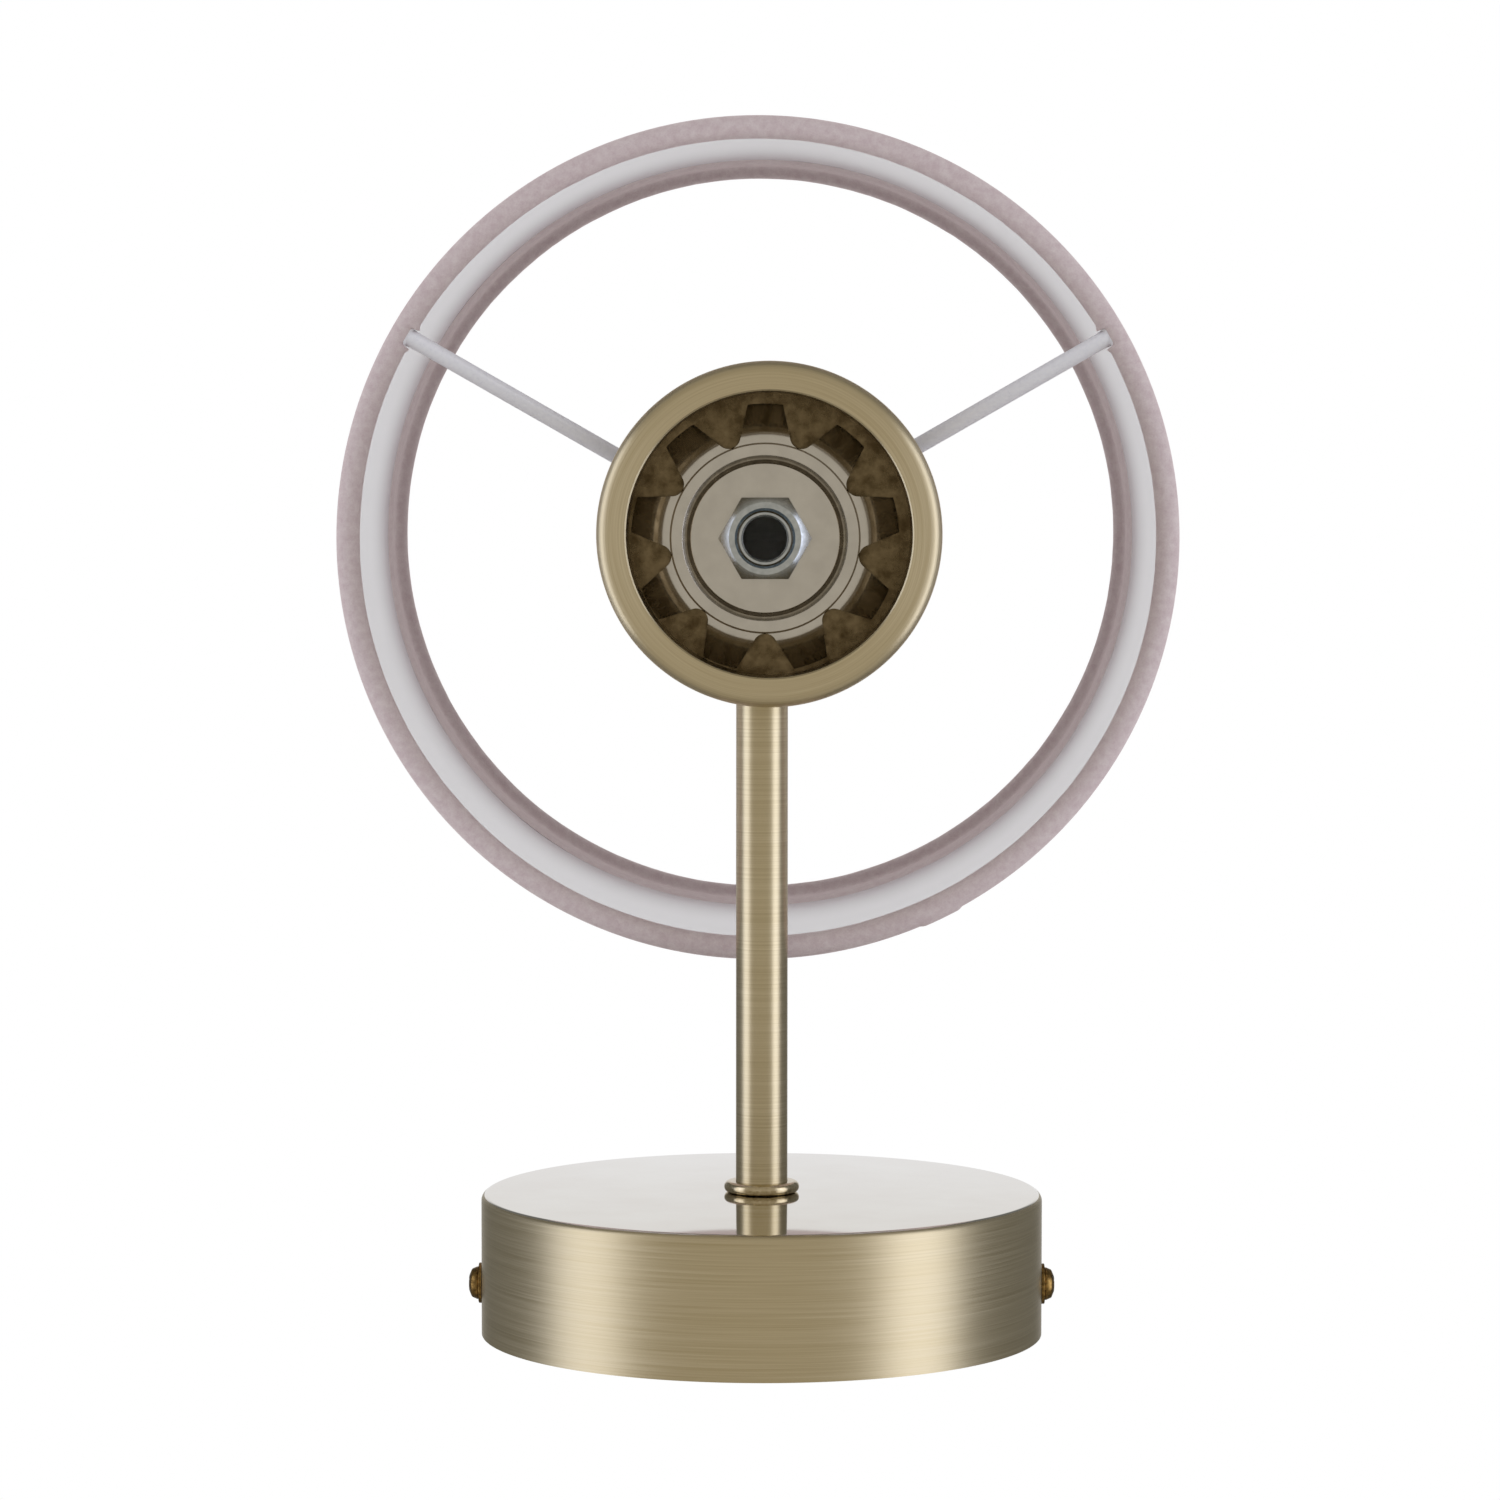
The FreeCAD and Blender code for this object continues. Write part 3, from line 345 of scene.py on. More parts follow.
# %% Insulation of the earth lead
# Green and yellow PVC, extruded together: about half of each, so both show from any side.
YELLOW_FROM = 0.55
earth_insulation = start_finish("extruded_green_yellow_insulation", Roughness=0.42, IOR=1.53)
tree = earth_insulation.node_tree
place = add(tree, "ShaderNodeTexCoord").outputs["UV"]
round_wire = add(tree, "ShaderNodeSeparateXYZ", None, {"Vector": place}).outputs["Y"]
stripe = add(tree, "ShaderNodeMath", {"operation": "GREATER_THAN"}, {0: round_wire, 1: YELLOW_FROM})
two_colours = add(tree, "ShaderNodeMix", {"data_type": "RGBA"}, {
    SHARE: stripe.outputs["Value"], COLOUR_A: tint("#3F8A2E"), COLOUR_B: tint("#D9C62C"),
})
feed(tree, "Base Color", two_colours.outputs[COLOUR_OUT])
print("yellow from", YELLOW_FROM, "of the way round the wire")

# %% [markdown]
# ## Velvet and lining
# The cover is a short-pile velvet of dusky pink. Its pile stands up and catches light at its edges,
# which the shader's sheen gives, and it lies this way and that in patches of a millimetre or two,
# which show as paler flecks. The lining is a smooth white plastic sheet with a soft gloss.

# %% Velvet
# Woven polyester velvet: no gloss, a pale halo at its edges, and flecks where the pile leans.
PILE_PATCH, FIBRE_TUFT, FIBRE_SHARE = 1.5, 0.3, 0.35
velvet = start_finish("woven_pink_velvet", Sheen_Weight=0.4, Sheen_Roughness=0.45, IOR=1.45)
velvet.node_tree.nodes["Principled BSDF"].inputs["Sheen Tint"].default_value = tint("#E0D2D2")
tree = velvet.node_tree
leaning = specks(tree, PILE_PATCH, 4.0, (1, 1, 1.3), 0.32, 0.72)
fibres = specks(tree, FIBRE_TUFT)
nap = add(tree, "ShaderNodeMix", {"data_type": "FLOAT"}, {
    SHARE: FIBRE_SHARE, NUMBER_A: leaning, NUMBER_B: fibres,
})
surface_from(velvet, nap.outputs[NUMBER_OUT], "#BEABAD", "#D3C7C5", (0.98, 0.9), 0.12)
print("velvet patches of", PILE_PATCH, "mm, tufts of", FIBRE_TUFT, "mm")

# %% Lining sheet
# Extruded PVC sheet, smooth side in: white with a broad soft gloss. Its upper part is painted greyer,
# as painted shade, where it faces the velvet hem and not the room.
WHITE_UP_TO, GREY_FROM = 62, 108
lining_sheet = start_finish("extruded_white_pvc_sheet", Roughness=0.2, IOR=1.53)
tree = lining_sheet.node_tree
place = add(tree, "ShaderNodeTexCoord").outputs["Object"]
height_up = add(tree, "ShaderNodeSeparateXYZ", None, {"Vector": place}).outputs["Z"]
# Painted shade: the share of grey rises with the height towards the hem.
hem_shade_share = add(tree, "ShaderNodeMapRange", {"interpolation_type": "SMOOTHSTEP"}, {
    "Value": height_up, "From Min": WHITE_UP_TO * MM, "From Max": GREY_FROM * MM,
})
painted_hem_shade = add(tree, "ShaderNodeMix", {"data_type": "RGBA"}, {
    SHARE: hem_shade_share.outputs["Result"], COLOUR_A: tint("#F7F6F7"), COLOUR_B: tint("#CBC4C8"),
})
feed(tree, "Base Color", painted_hem_shade.outputs[COLOUR_OUT])
print("lining is white up to", WHITE_UP_TO, "mm")

# %% [markdown]
# ## Making a mesh a finished piece
# A piece gets its material, smooth shading that stops at real edges, and the body that it moves
# with, which is the body of the solid that it stands for.


def smooth(piece, degrees=32):
    """Smooth shading, kept sharp where two faces meet at more than the given angle."""
    mesh = piece.data
    mesh.polygons.foreach_set("use_smooth", [True] * len(mesh.polygons))
    mesh.set_sharp_from_angle(angle=math.radians(degrees))
    return piece


def piece_from(name, bm):
    """A new object at the origin with the mesh that was worked on."""
    mesh = bpy.data.meshes.new(name)
    bm.to_mesh(mesh)
    bm.free()
    return shown(name, mesh)


def stand_for(piece, node, *materials):
    """Gives the piece its materials and the solid's body, and hides the solid."""
    piece.data.materials.clear()
    for material in materials:
        piece.data.materials.append(material)
    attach(piece, nodes[node]["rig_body"])
    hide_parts(node)


def bake(piece):
    """The piece's modifiers become part of its mesh."""
    graph = bpy.context.evaluated_depsgraph_get()
    made = bpy.data.meshes.new_from_object(piece.evaluated_get(graph))
    piece.modifiers.clear()
    piece.data = made


# %% [markdown]
# ## Turned pieces
# The canopy, arm, collar and cup are all turned or spun, so each is one outline swept round an
# axis. The outline is a list of corners with the rounding of each, as on a workshop drawing. A
# modifier could sweep it, but a short loop gives full control over the rings and the openings, and
# the same loop later joins the sections of the cloth, which differ from angle to angle.

# %% Outlines and turning
TINY = 1e-6


def rounded(corners, steps=5):
    """A closed outline of (radius, height, rounding) corners, with each rounding as a short arc."""
    line = []
    for i, corner in enumerate(corners):
        here = Vector(corner[:2])
        bend = corner[2] if len(corner) > 2 else 0
        if not bend:
            line.append(here)
            continue
        back = (Vector(corners[i - 1][:2]) - here).normalized()
        onward = (Vector(corners[(i + 1) % len(corners)][:2]) - here).normalized()
        half = back.angle(onward) / 2
        pivot = here + (back + onward).normalized() * bend / math.sin(half)
        first = here + back * bend / math.tan(half) - pivot
        last = here + onward * bend / math.tan(half) - pivot
        sweep = first.angle_signed(last)
        for k in range(steps + 1):
            turned_by = Matrix.Rotation(-sweep * k / steps, 2)
            line.append(pivot + turned_by @ first)
    return line


def skin_through(name, sections):
    """A closed skin through sections that go round the drum, each a closed ring of points in mm."""
    bm = bmesh.new()
    grid = [[bm.verts.new(spot * MM) for spot in section] for section in sections]
    count = len(grid[0])
    for k in range(len(grid)):
        here, there = grid[k], grid[(k + 1) % len(grid)]
        for i in range(count):
            j = (i + 1) % count
            bm.faces.new((here[i], here[j], there[j], there[i]))
    bmesh.ops.dissolve_degenerate(bm, edges=bm.edges, dist=TINY)
    bmesh.ops.recalc_face_normals(bm, faces=bm.faces)
    return piece_from(name, bm)


def turned(name, corners, axis="Z", centre=(0, 0, 0), rings=180, steps=5):
    """The outline swept round an axis. On axis Y, height runs from the wall along the arm."""
    line = rounded(corners, steps)
    sections = []
    for k in range(rings):
        c, s = math.cos(math.tau * k / rings), math.sin(math.tau * k / rings)
        spots = [(r * c, r * s, h) if axis == "Z" else (r * c, -h, r * s) for r, h in line]
        sections.append([Vector(spot) + Vector(centre) for spot in spots])
    return skin_through(name, sections)


def bar(name, sides, radius, middle_of, line, turn=Matrix()):
    """A straight bar with that many sides, as long as the line and along it."""
    bm = bmesh.new()
    bmesh.ops.create_cone(
        bm, cap_ends=True, segments=sides, radius1=radius * MM, radius2=radius * MM,
        depth=line.length * MM,
    )
    lie = Vector((0, 0, 1)).rotation_difference(line).to_matrix().to_4x4()
    bm.transform(Matrix.Translation(middle_of * MM) @ lie @ turn)
    return piece_from(name, bm)


def combine(piece, tool, operation):
    """Takes the tool's shape out of the piece, or keeps only what both share. Uses the tool up."""
    step = piece.modifiers.new("combine", "BOOLEAN")
    step.object = tool
    step.operation = operation
    step.solver = "EXACT"
    bake(piece)
    bpy.data.objects.remove(tool)


def bore(piece, radius, start, end):
    """Drills a round hole through the piece, from one point to another, in millimetres."""
    line = Vector(end) - Vector(start)
    drill = bar("drill", 48, radius, Vector(start) + line / 2, line)
    combine(piece, drill, "DIFFERENCE")


# %% [markdown]
# ### Canopy
# A drawn shell, open to the wall: its side is brushed round and its face is polished, so the two
# get their own materials, parted at the rounded edge.

# %% Canopy
CANOPY_RADIUS = 50.0
CANOPY_DEPTH = 25.0
SHEET = 1.0
ARM_HOLE, SCREW_HOLE = 4.2, 1.8
SCREW_FROM_WALL = 8.5
inner_radius, inner_depth = CANOPY_RADIUS - SHEET, CANOPY_DEPTH - SHEET
canopy = turned("canopy_shell", [
    (inner_radius, 0), (CANOPY_RADIUS, 0), (CANOPY_RADIUS, CANOPY_DEPTH, 1.2),
    (ARM_HOLE, CANOPY_DEPTH), (ARM_HOLE, inner_depth), (inner_radius, inner_depth, 0.4),
], axis="Y", rings=256, steps=8)
past_side = CANOPY_RADIUS + 2
bore(canopy, SCREW_HOLE, (-past_side, -SCREW_FROM_WALL, 0), (past_side, -SCREW_FROM_WALL, 0))
smooth(canopy, 40)
stand_for(canopy, "canopy", canopy_side_brass, face_brass, cup_inside)
SIDE, FACE, INSIDE = 0, 1, 2
for face in canopy.data.polygons:
    from_wall, from_axis = -face.center.y / MM, face.center.xz.length / MM
    inner = from_wall < inner_depth + 0.01 and from_axis < inner_radius + 0.01
    face.material_index = INSIDE if inner else (FACE if face.normal.y < -0.8 else SIDE)
print("canopy faces", len(canopy.data.polygons))

# %% [markdown]
# ### Arm and collar
# The arm is a tube with a threaded end in the canopy and one in the cup. At its foot sits a round
# bead, the collar, which is brighter than the tube because it is polished.

# %% Arm and collar
ARM_RADIUS, ARM_THREAD, THREAD_TIP = 4.6, 4.0, 3.6
ARM_BORE, END_BORE = 3.5, 2.7
arm_low, low_shoulder, high_shoulder, arm_high = 16.5, 25.8, 113.4, 125.2
arm = smooth(turned("arm", [
    (END_BORE, arm_low), (THREAD_TIP, arm_low), (ARM_THREAD, arm_low + 0.4),
    (ARM_THREAD, low_shoulder), (ARM_RADIUS, low_shoulder), (ARM_RADIUS, high_shoulder),
    (ARM_THREAD, high_shoulder), (ARM_THREAD, arm_high - 0.4), (THREAD_TIP, arm_high),
    (END_BORE, arm_high), (END_BORE, high_shoulder + 1), (ARM_BORE, high_shoulder - 1),
    (ARM_BORE, low_shoulder + 3), (END_BORE, low_shoulder + 1),
], axis="Y", rings=96))
stand_for(arm, "arm_tube", arm_brass)

BEAD_RADIUS, BEAD_TOP, BEAD_ROUNDING = 6.7, 27.0, 0.95
round_arm = ARM_RADIUS + 0.05
collar = smooth(turned("collar", [
    (ARM_HOLE, CANOPY_DEPTH), (BEAD_RADIUS, CANOPY_DEPTH, BEAD_ROUNDING),
    (BEAD_RADIUS, BEAD_TOP, BEAD_ROUNDING), (round_arm, BEAD_TOP), (round_arm, low_shoulder),
    (ARM_HOLE, low_shoulder),
], axis="Y", rings=96, steps=10))
stand_for(collar, "arm_collar", bead_brass)
print("arm", round(high_shoulder - low_shoulder, 1), "mm between its shoulders")

# %% [markdown]
# ### Cup
# The cup is turned from thick bar. Its foot is a flat ring with a rounded outer edge and a thin
# bright edge at the mouth, where the tool broke the corner. Inside are a belt for the claws and
# the end that carries the lampholder. The belt's bore follows the lampholder, which stands a
# little off the cup's axis.

# %% Cup
cx, cy = cup_centre.x, cup_centre.y
CUP_RADIUS, CUP_BORE, BELT_BORE, TOP_BORE = 30.0, 24.8, 16.6, 17.41
foot_z, cup_top = -22.0, 20.0
belt_low, belt_top, under_top = -5.0, 7.0, 17.0
cup = turned("lamp_cup_turned", [
    (CUP_BORE, foot_z + 0.25), (CUP_BORE + 0.25, foot_z), (CUP_RADIUS, foot_z, 2.4),
    (CUP_RADIUS, cup_top, 1.5), (TOP_BORE, cup_top), (TOP_BORE, under_top),
    (CUP_BORE, under_top, 1.0), (CUP_BORE, belt_top), (BELT_BORE, belt_top),
    (BELT_BORE, belt_low), (CUP_BORE, belt_low),
], centre=(cx, cy, 0), rings=256, steps=8)
for vertex in cup.data.vertices:
    from_axis = (vertex.co.xy / MM - Vector((cx, cy))).length
    if from_axis < BELT_BORE + 0.1 and vertex.co.z < (belt_top + 1) * MM:
        vertex.co.xy += (holder_centre.xy - cup_centre.xy) * MM
bore(cup, ARM_RADIUS + 0.05, (0, -111.5, 0), (0, -high_shoulder, 0))
bore(cup, ARM_THREAD + 0.03, (0, -113.0, 0), (0, -126.5, 0))
smooth(cup, 30)
stand_for(cup, "lamp_cup", cup_brass, cup_inside)
for face in cup.data.polygons:
    from_axis = (face.center.xy / MM - Vector((cx, cy))).length
    inner = from_axis < CUP_BORE + 0.1 and foot_z + 0.3 < face.center.z / MM < cup_top - 1
    face.material_index = 1 if inner else 0
print("cup faces", len(cup.data.polygons))

# %% [markdown]
# ## Claw disc
# The spring disc that grips the cup has nine equal claws. One ninth of it is made, between two
# notches, as a strip whose width follows the notch's outline. Geometry Nodes turn nine copies round
# the axis and weld them, which keeps equal parts in step.

# %% A tree that repeats a piece round an upright axis
WELD = 2e-6


def repeat_tree():
    """A tree that turns copies round the centre, welds them and gives them their material."""
    tree = bpy.data.node_groups.new("repeat_round_axis", "GeometryNodeTree")
    sockets = {
        "Geometry": "Geometry", "Count": "Int", "Centre": "Vector", "First": "Float",
        "Material": "Material",
    }
    for label, kind in sockets.items():
        tree.interface.new_socket(label, in_out="INPUT", socket_type="NodeSocket" + kind)
    tree.interface.new_socket("Geometry", in_out="OUTPUT", socket_type="NodeSocketGeometry")
    given = add(tree, "NodeGroupInput").outputs
    points = add(tree, "GeometryNodePoints", None, {
        "Count": given["Count"], "Position": given["Centre"],
    })
    back = add(tree, "ShaderNodeVectorMath", {"operation": "SCALE"}, {
        0: given["Centre"], "Scale": -1.0,
    })
    moved = add(tree, "GeometryNodeTransform", None, {
        "Geometry": given["Geometry"], "Translation": back.outputs["Vector"],
    })
    step = add(tree, "ShaderNodeMath", {"operation": "DIVIDE"}, {0: math.tau, 1: given["Count"]})
    index = add(tree, "GeometryNodeInputIndex")
    angle = add(tree, "ShaderNodeMath", {"operation": "MULTIPLY_ADD"}, {
        0: index.outputs["Index"], 1: step.outputs["Value"], 2: given["First"],
    })
    turn = add(tree, "ShaderNodeCombineXYZ", None, {"Z": angle.outputs["Value"]})
    copies = add(tree, "GeometryNodeInstanceOnPoints", None, {
        "Points": points.outputs["Points"], "Instance": moved.outputs["Geometry"],
        "Rotation": turn.outputs["Vector"],
    })
    real = add(tree, "GeometryNodeRealizeInstances", None, {
        "Geometry": copies.outputs["Instances"],
    })
    weld = add(tree, "GeometryNodeMergeByDistance", None, {
        "Geometry": real.outputs["Geometry"], "Distance": WELD,
    })
    coated = add(tree, "GeometryNodeSetMaterial", None, {
        "Geometry": weld.outputs["Geometry"], "Material": given["Material"],
    })
    add(tree, "NodeGroupOutput", None, {"Geometry": coated.outputs["Geometry"]})
    return tree


repeat_round = repeat_tree()


def repeat(piece, count, centre, first_degrees, material):
    """Copies the piece round an upright axis through the centre."""
    modifier = piece.modifiers.new("repeat", "NODES")
    modifier.node_group = repeat_round
    values = {
        "Count": count, "Centre": Vector(centre) * MM, "First": math.radians(first_degrees),
        "Material": material,
    }
    for socket in repeat_round.interface.items_tree:
        if socket.in_out == "INPUT" and socket.name in values:
            modifier[socket.identifier] = values[socket.name]
    bake(piece)


# %% [markdown]
# ### The notch between two claws
# Each notch has a round root and straight flanks that open outwards. What counts is the angle that
# the notch takes at some distance from the axis, which is found by halving.

# %% Notch between two claws
CLAWS = 9
ROOT_CENTRE, ROOT_RADIUS, FLARE = 18.8, 2.1, math.radians(31.7)


def notch_half_angle(radius):
    """Half the angle that the notch takes at this distance from the axis."""
    if radius <= ROOT_CENTRE - ROOT_RADIUS:
        return 0.0
    flank_x = ROOT_CENTRE - ROOT_RADIUS * math.sin(FLARE)
    flank_w = ROOT_RADIUS * math.cos(FLARE)
    low, high = ROOT_CENTRE - ROOT_RADIUS, radius
    for _ in range(40):
        x = (low + high) / 2
        if x < flank_x:
            w = math.sqrt(max(0.0, ROOT_RADIUS ** 2 - (x - ROOT_CENTRE) ** 2))
        else:
            w = flank_w + (x - flank_x) * math.tan(FLARE)
        low, high = (x, high) if math.hypot(x, w) < radius else (low, x)
    return math.atan2(w, x)


print("one claw's share", 360 / CLAWS, "degrees")

# %% [markdown]
# ### The section of the disc
# From the hole outwards the pressed sheet has a flat plateau, the steep wall of a groove, a ring,
# a fine step and then the claw, which bends up to the cup's belt. The upper side follows the
# underside, one sheet's thickness away. Long runs are split, so the notch cuts into them smoothly.

# %% Section of the disc
STEEL, CLAW_SLOPE = 0.8, math.radians(46.5)
HOLE_R, PLATEAU_R, GROOVE_R, RING_R = 5.05, 13.0, 13.8, 14.6
STEP_R, BEND_R, TIP_R = 16.4, 18.9, 23.6
plateau_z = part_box("claw_disc")[0].z / MM
groove_z = plateau_z + 0.65
ring_z = groove_z - 0.15
tip_z = groove_z + (TIP_R - BEND_R) * math.tan(CLAW_SLOPE)


def finer(line, longest):
    """The open line with its long runs split."""
    out = [line[0]]
    for a, b in zip(line, line[1:]):
        parts = max(1, math.ceil((b - a).length / longest))
        out += [a.lerp(b, k / parts) for k in range(1, parts + 1)]
    return out


under = [
    (HOLE_R, plateau_z), (PLATEAU_R + 0.05, plateau_z, 0.3), (GROOVE_R, plateau_z + 1.0, 0.35),
    (RING_R, ring_z, 0.35), (STEP_R, ring_z, 0.2), (STEP_R + 0.35, groove_z, 0.2),
    (BEND_R, groove_z, 4.2), (TIP_R, tip_z),
]
over = [
    (TIP_R - STEEL * math.sin(CLAW_SLOPE), tip_z + STEEL * math.cos(CLAW_SLOPE)),
    (BEND_R - STEEL * math.tan(CLAW_SLOPE / 2), groove_z + STEEL, 3.4),
    (RING_R - 0.1, groove_z + STEEL, 0.3), (GROOVE_R, plateau_z + STEEL + 1.0, 0.3),
    (PLATEAU_R, plateau_z + STEEL, 0.3), (HOLE_R, plateau_z + STEEL),
]
outline = rounded(under + over, 4)
tip_at = min(range(len(outline)), key=lambda i: (outline[i] - Vector((TIP_R, tip_z))).length)
skins = [finer(outline[:tip_at + 1], 0.3), finer(outline[tip_at + 1:], 0.3)]
print("section of", len(skins[0]), "points below and", len(skins[1]), "above")

# %% [markdown]
# ### One ninth as a mesh
# The two skins are rows of points across the ninth, joined at the hole and at the tip. Along the
# notch their rows lie at different distances from the axis, so triangles walk outwards along both.

# %% One ninth of the disc
CLAW_COLUMNS = 10
hx, hy = holder_centre.x, holder_centre.y
bm = bmesh.new()
rows = []
for skin in skins:
    made = []
    for r, h in skin:
        half = math.pi / CLAWS - notch_half_angle(r)
        across = [half * (2 * k / CLAW_COLUMNS - 1) for k in range(CLAW_COLUMNS + 1)]
        spots = [Vector((hx + r * math.cos(a), hy + r * math.sin(a), h)) for a in across]
        made.append([bm.verts.new(spot * MM) for spot in spots])
    rows.append(made)
ends = [(rows[0][-1], rows[1][0]), (rows[1][-1], rows[0][0])]
for a, b in [*zip(rows[0], rows[0][1:]), *zip(rows[1], rows[1][1:]), *ends]:
    for k in range(CLAW_COLUMNS):
        bm.faces.new((a[k], b[k], b[k + 1], a[k + 1]))
for edge in (0, CLAW_COLUMNS):
    lower, upper = [
        [(r, row[edge]) for (r, h), row in zip(skin, made) if notch_half_angle(r) > 0]
        for skin, made in zip(skins, rows)
    ]
    lower.reverse()
    i = j = 0
    while i < len(lower) - 1 or j < len(upper) - 1:
        down = j == len(upper) - 1 or (i < len(lower) - 1 and lower[i][0] > upper[j][0])
        third = lower[i + 1][1] if down else upper[j + 1][1]
        bm.faces.new((lower[i][1], upper[j][1], third))
        i, j = (i + 1, j) if down else (i, j + 1)
claw_disc = piece_from("claw_disc_pressed", bm)
print("faces in one ninth:", len(claw_disc.data.polygons))

# %% Nine claws, welded into one disc
repeat(claw_disc, CLAWS, (hx, hy, 0), -50.0, nickel)
bm = bmesh.new()
bm.from_mesh(claw_disc.data)
open_edges = [e for e in bm.edges if e.is_boundary]
bmesh.ops.holes_fill(bm, edges=open_edges, sides=8)
bmesh.ops.recalc_face_normals(bm, faces=bm.faces)
bm.to_mesh(claw_disc.data)
bm.free()
smooth(claw_disc, 50)
stand_for(claw_disc, "claw_disc", nickel, painted_groove_nickel)
# Faces of the groove's wall that look down get the darker nickel: painted shade.
for face in claw_disc.data.polygons:
    from_axis = (face.center.xy / MM - Vector((hx, hy))).length
    in_groove = PLATEAU_R + 0.2 < from_axis < RING_R - 0.2 and face.normal.z < -0.2
    face.material_index = 1 if in_groove else 0
print("claw disc faces", len(claw_disc.data.polygons), "open edges", len(open_edges))

# %% [markdown]
# ## Nut
# The nut that holds the disc is cut from hexagon bar, and a turning tool has cut its corners to a
# shallow cone. It is made in the same two steps: a six-sided bar, of which only what lies inside a
# turned blank is kept.

# %% Nut
ACROSS_FLATS, NUT_BORE, FACE_EDGE, PAST_CORNERS = 14.2, 4.87, 6.3, 8.5
nut_low, nut_high = [v.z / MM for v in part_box("claw_disc_nut")]
nut_middle = Vector((hx, hy, (nut_low + nut_high) / 2))
corners_sideways = Matrix.Rotation(math.pi / 6, 4, "Z")
nut = bar("nut", 6, ACROSS_FLATS / math.sqrt(3), nut_middle,
          Vector((0, 0, nut_high - nut_low)), corners_sideways)
blank = turned("nut_blank", [
    (NUT_BORE, nut_low + 0.5), (5.3, nut_low), (FACE_EDGE, nut_low, 0.15),
    (PAST_CORNERS, nut_low + 1.5), (PAST_CORNERS, nut_high + 1), (NUT_BORE, nut_high + 1),
], centre=(hx, hy, 0), rings=96)
combine(nut, blank, "INTERSECT")
stand_for(smooth(nut, 20), "claw_disc_nut", bright_zinc)
print("nut", round(nut.dimensions.y / MM, 2), "mm across its flats")

# %% [markdown]
# ## Pieces that keep the solid's shape
# Nuts, screws, rings and blocks are already right as solids. A solid arrives as loose triangles, so
# a copy is welded and shaded smoothly up to its real edges, and the copy is shown in its place.

# %% Welded copies with their finishes
kept = {
    "canopy_screw_left": dark_brass, "canopy_screw_right": dark_brass,
    "canopy_washer_left": dark_brass, "canopy_washer_right": dark_brass,
    "wall_bracket": plain_zinc, "terminal_block": polyamide, "terminal_sleeves": bare_brass,
    "terminal_clamp_screws": plain_zinc, "terminal_block_screw": plain_zinc,
    "earth_screw": plain_zinc, "earth_ring_terminal": tin, "arm_lock_washer": plain_zinc,
    "arm_lock_nut": plain_zinc, "threaded_nipple": bright_zinc, "lampholder_cap": phenolic,
    "lampholder_body": phenolic, "lampholder_insert": ceramic, "bulb_thread_shell": bare_brass,
    "centre_contact": tin, "lampholder_terminal_screws": plain_zinc, "shade_seat_ring": phenolic,
    "shade_clamp_ring": phenolic, "shade_fitter": powder_coat, "shade_bottom_wire": powder_coat,
    "shade_top_wire": powder_coat,
}


def welded_copy(node, material):
    """A copy of the solid's mesh with its triangles joined, shaded as one surface."""
    bm = bmesh.new()
    bm.from_mesh(nodes[node].data)
    bmesh.ops.remove_doubles(bm, verts=bm.verts, dist=WELD)
    bmesh.ops.dissolve_degenerate(bm, edges=bm.edges, dist=TINY / 10)
    stand_for(smooth(piece_from(node + "_piece", bm), 28), node, material)


for node, material in kept.items():
    welded_copy(node, material)
print("welded copies:", len(kept))

# %% [markdown]
# ## Shade frame
# Three straight wires run from the fitter down to the ring wire, where a small bead of weld joins
# them. They are one wire repeated three times round the shade's axis.

# %% Spokes
sx, sy, fitter_z = shade_centre
WIRE = 1.5
RING_WIRE = 73.7
LOW_WIRE_Z, HIGH_WIRE_Z = 11.5, 120.3
spoke_angles = [-150.0, -30.0, 90.0]


def tube_mesh(name, line, radii, sides=24):
    """A round tube through the points, with its own radius at each."""
    bm = bmesh.new()
    rows = []
    ring = [math.tau * k / sides for k in range(sides)]
    for i, (point, radius) in enumerate(zip(line, radii)):
        onward = (line[min(i + 1, len(line) - 1)] - line[max(i - 1, 0)]).normalized()
        u = onward.cross(Vector((0, 0, 1))).normalized()
        v = onward.cross(u)
        spots = [point + radius * (u * math.cos(a) + v * math.sin(a)) for a in ring]
        rows.append([bm.verts.new(spot * MM) for spot in spots])
    for a, b in zip(rows, rows[1:]):
        for k in range(sides):
            bm.faces.new((a[k], a[(k + 1) % sides], b[(k + 1) % sides], b[k]))
    bm.faces.new(rows[0][::-1])
    bm.faces.new(rows[-1])
    bmesh.ops.recalc_face_normals(bm, faces=bm.faces)
    return piece_from(name, bm)


spoke_start = Vector((sx + 22.4, sy, fitter_z))
spoke_end = Vector((sx + RING_WIRE - 0.4, sy, LOW_WIRE_Z + 0.2))
# How thick the wire is at each share of its length: it swells where weld and coating gather.
swell = {
    0: 1.0, 0.015: 1.08, 0.03: 1.05, 0.06: 1.0, 0.5: 1.0,
    0.93: 1.0, 0.955: 1.03, 0.975: 1.08, 0.99: 1.06, 1.0: 0.9,
}
places = [spoke_start.lerp(spoke_end, share) for share in swell]
spokes = tube_mesh("spoke_wires", places, [WIRE * k for k in swell.values()])
repeat(spokes, len(spoke_angles), (sx, sy, 0), spoke_angles[0], powder_coat)
stand_for(smooth(spokes, 45), "shade_spokes", powder_coat)
print("spoke", round((spoke_end - spoke_start).length, 1), "mm long")

# %% [markdown]
# ## Cover
# The velvet is glued to the lining sheet, and its two edges are turned in round the ring wires and
# glued down as a hem of 15 mm. A section through the cloth is worked out for each angle round the
# drum: from the hem round the wire, along the wall, and round the other wire to the other hem.
# Where a spoke comes in, the turned edge is snipped, and its corners stand up a little. A lap runs
# down the side that faces the wall, where the cloth's ends meet. Sweeping one profile would give a
# perfect drum, so each section has its own small waves instead.

# %% How the cloth turns round a wire
CLOTH = 0.55
FOLD = WIRE + 0.05 + CLOTH / 2
HEM = 15.0
ROUND_WIRE = math.radians(240)
ON_LINING, GLUED_FROM = 0.42, 4.6


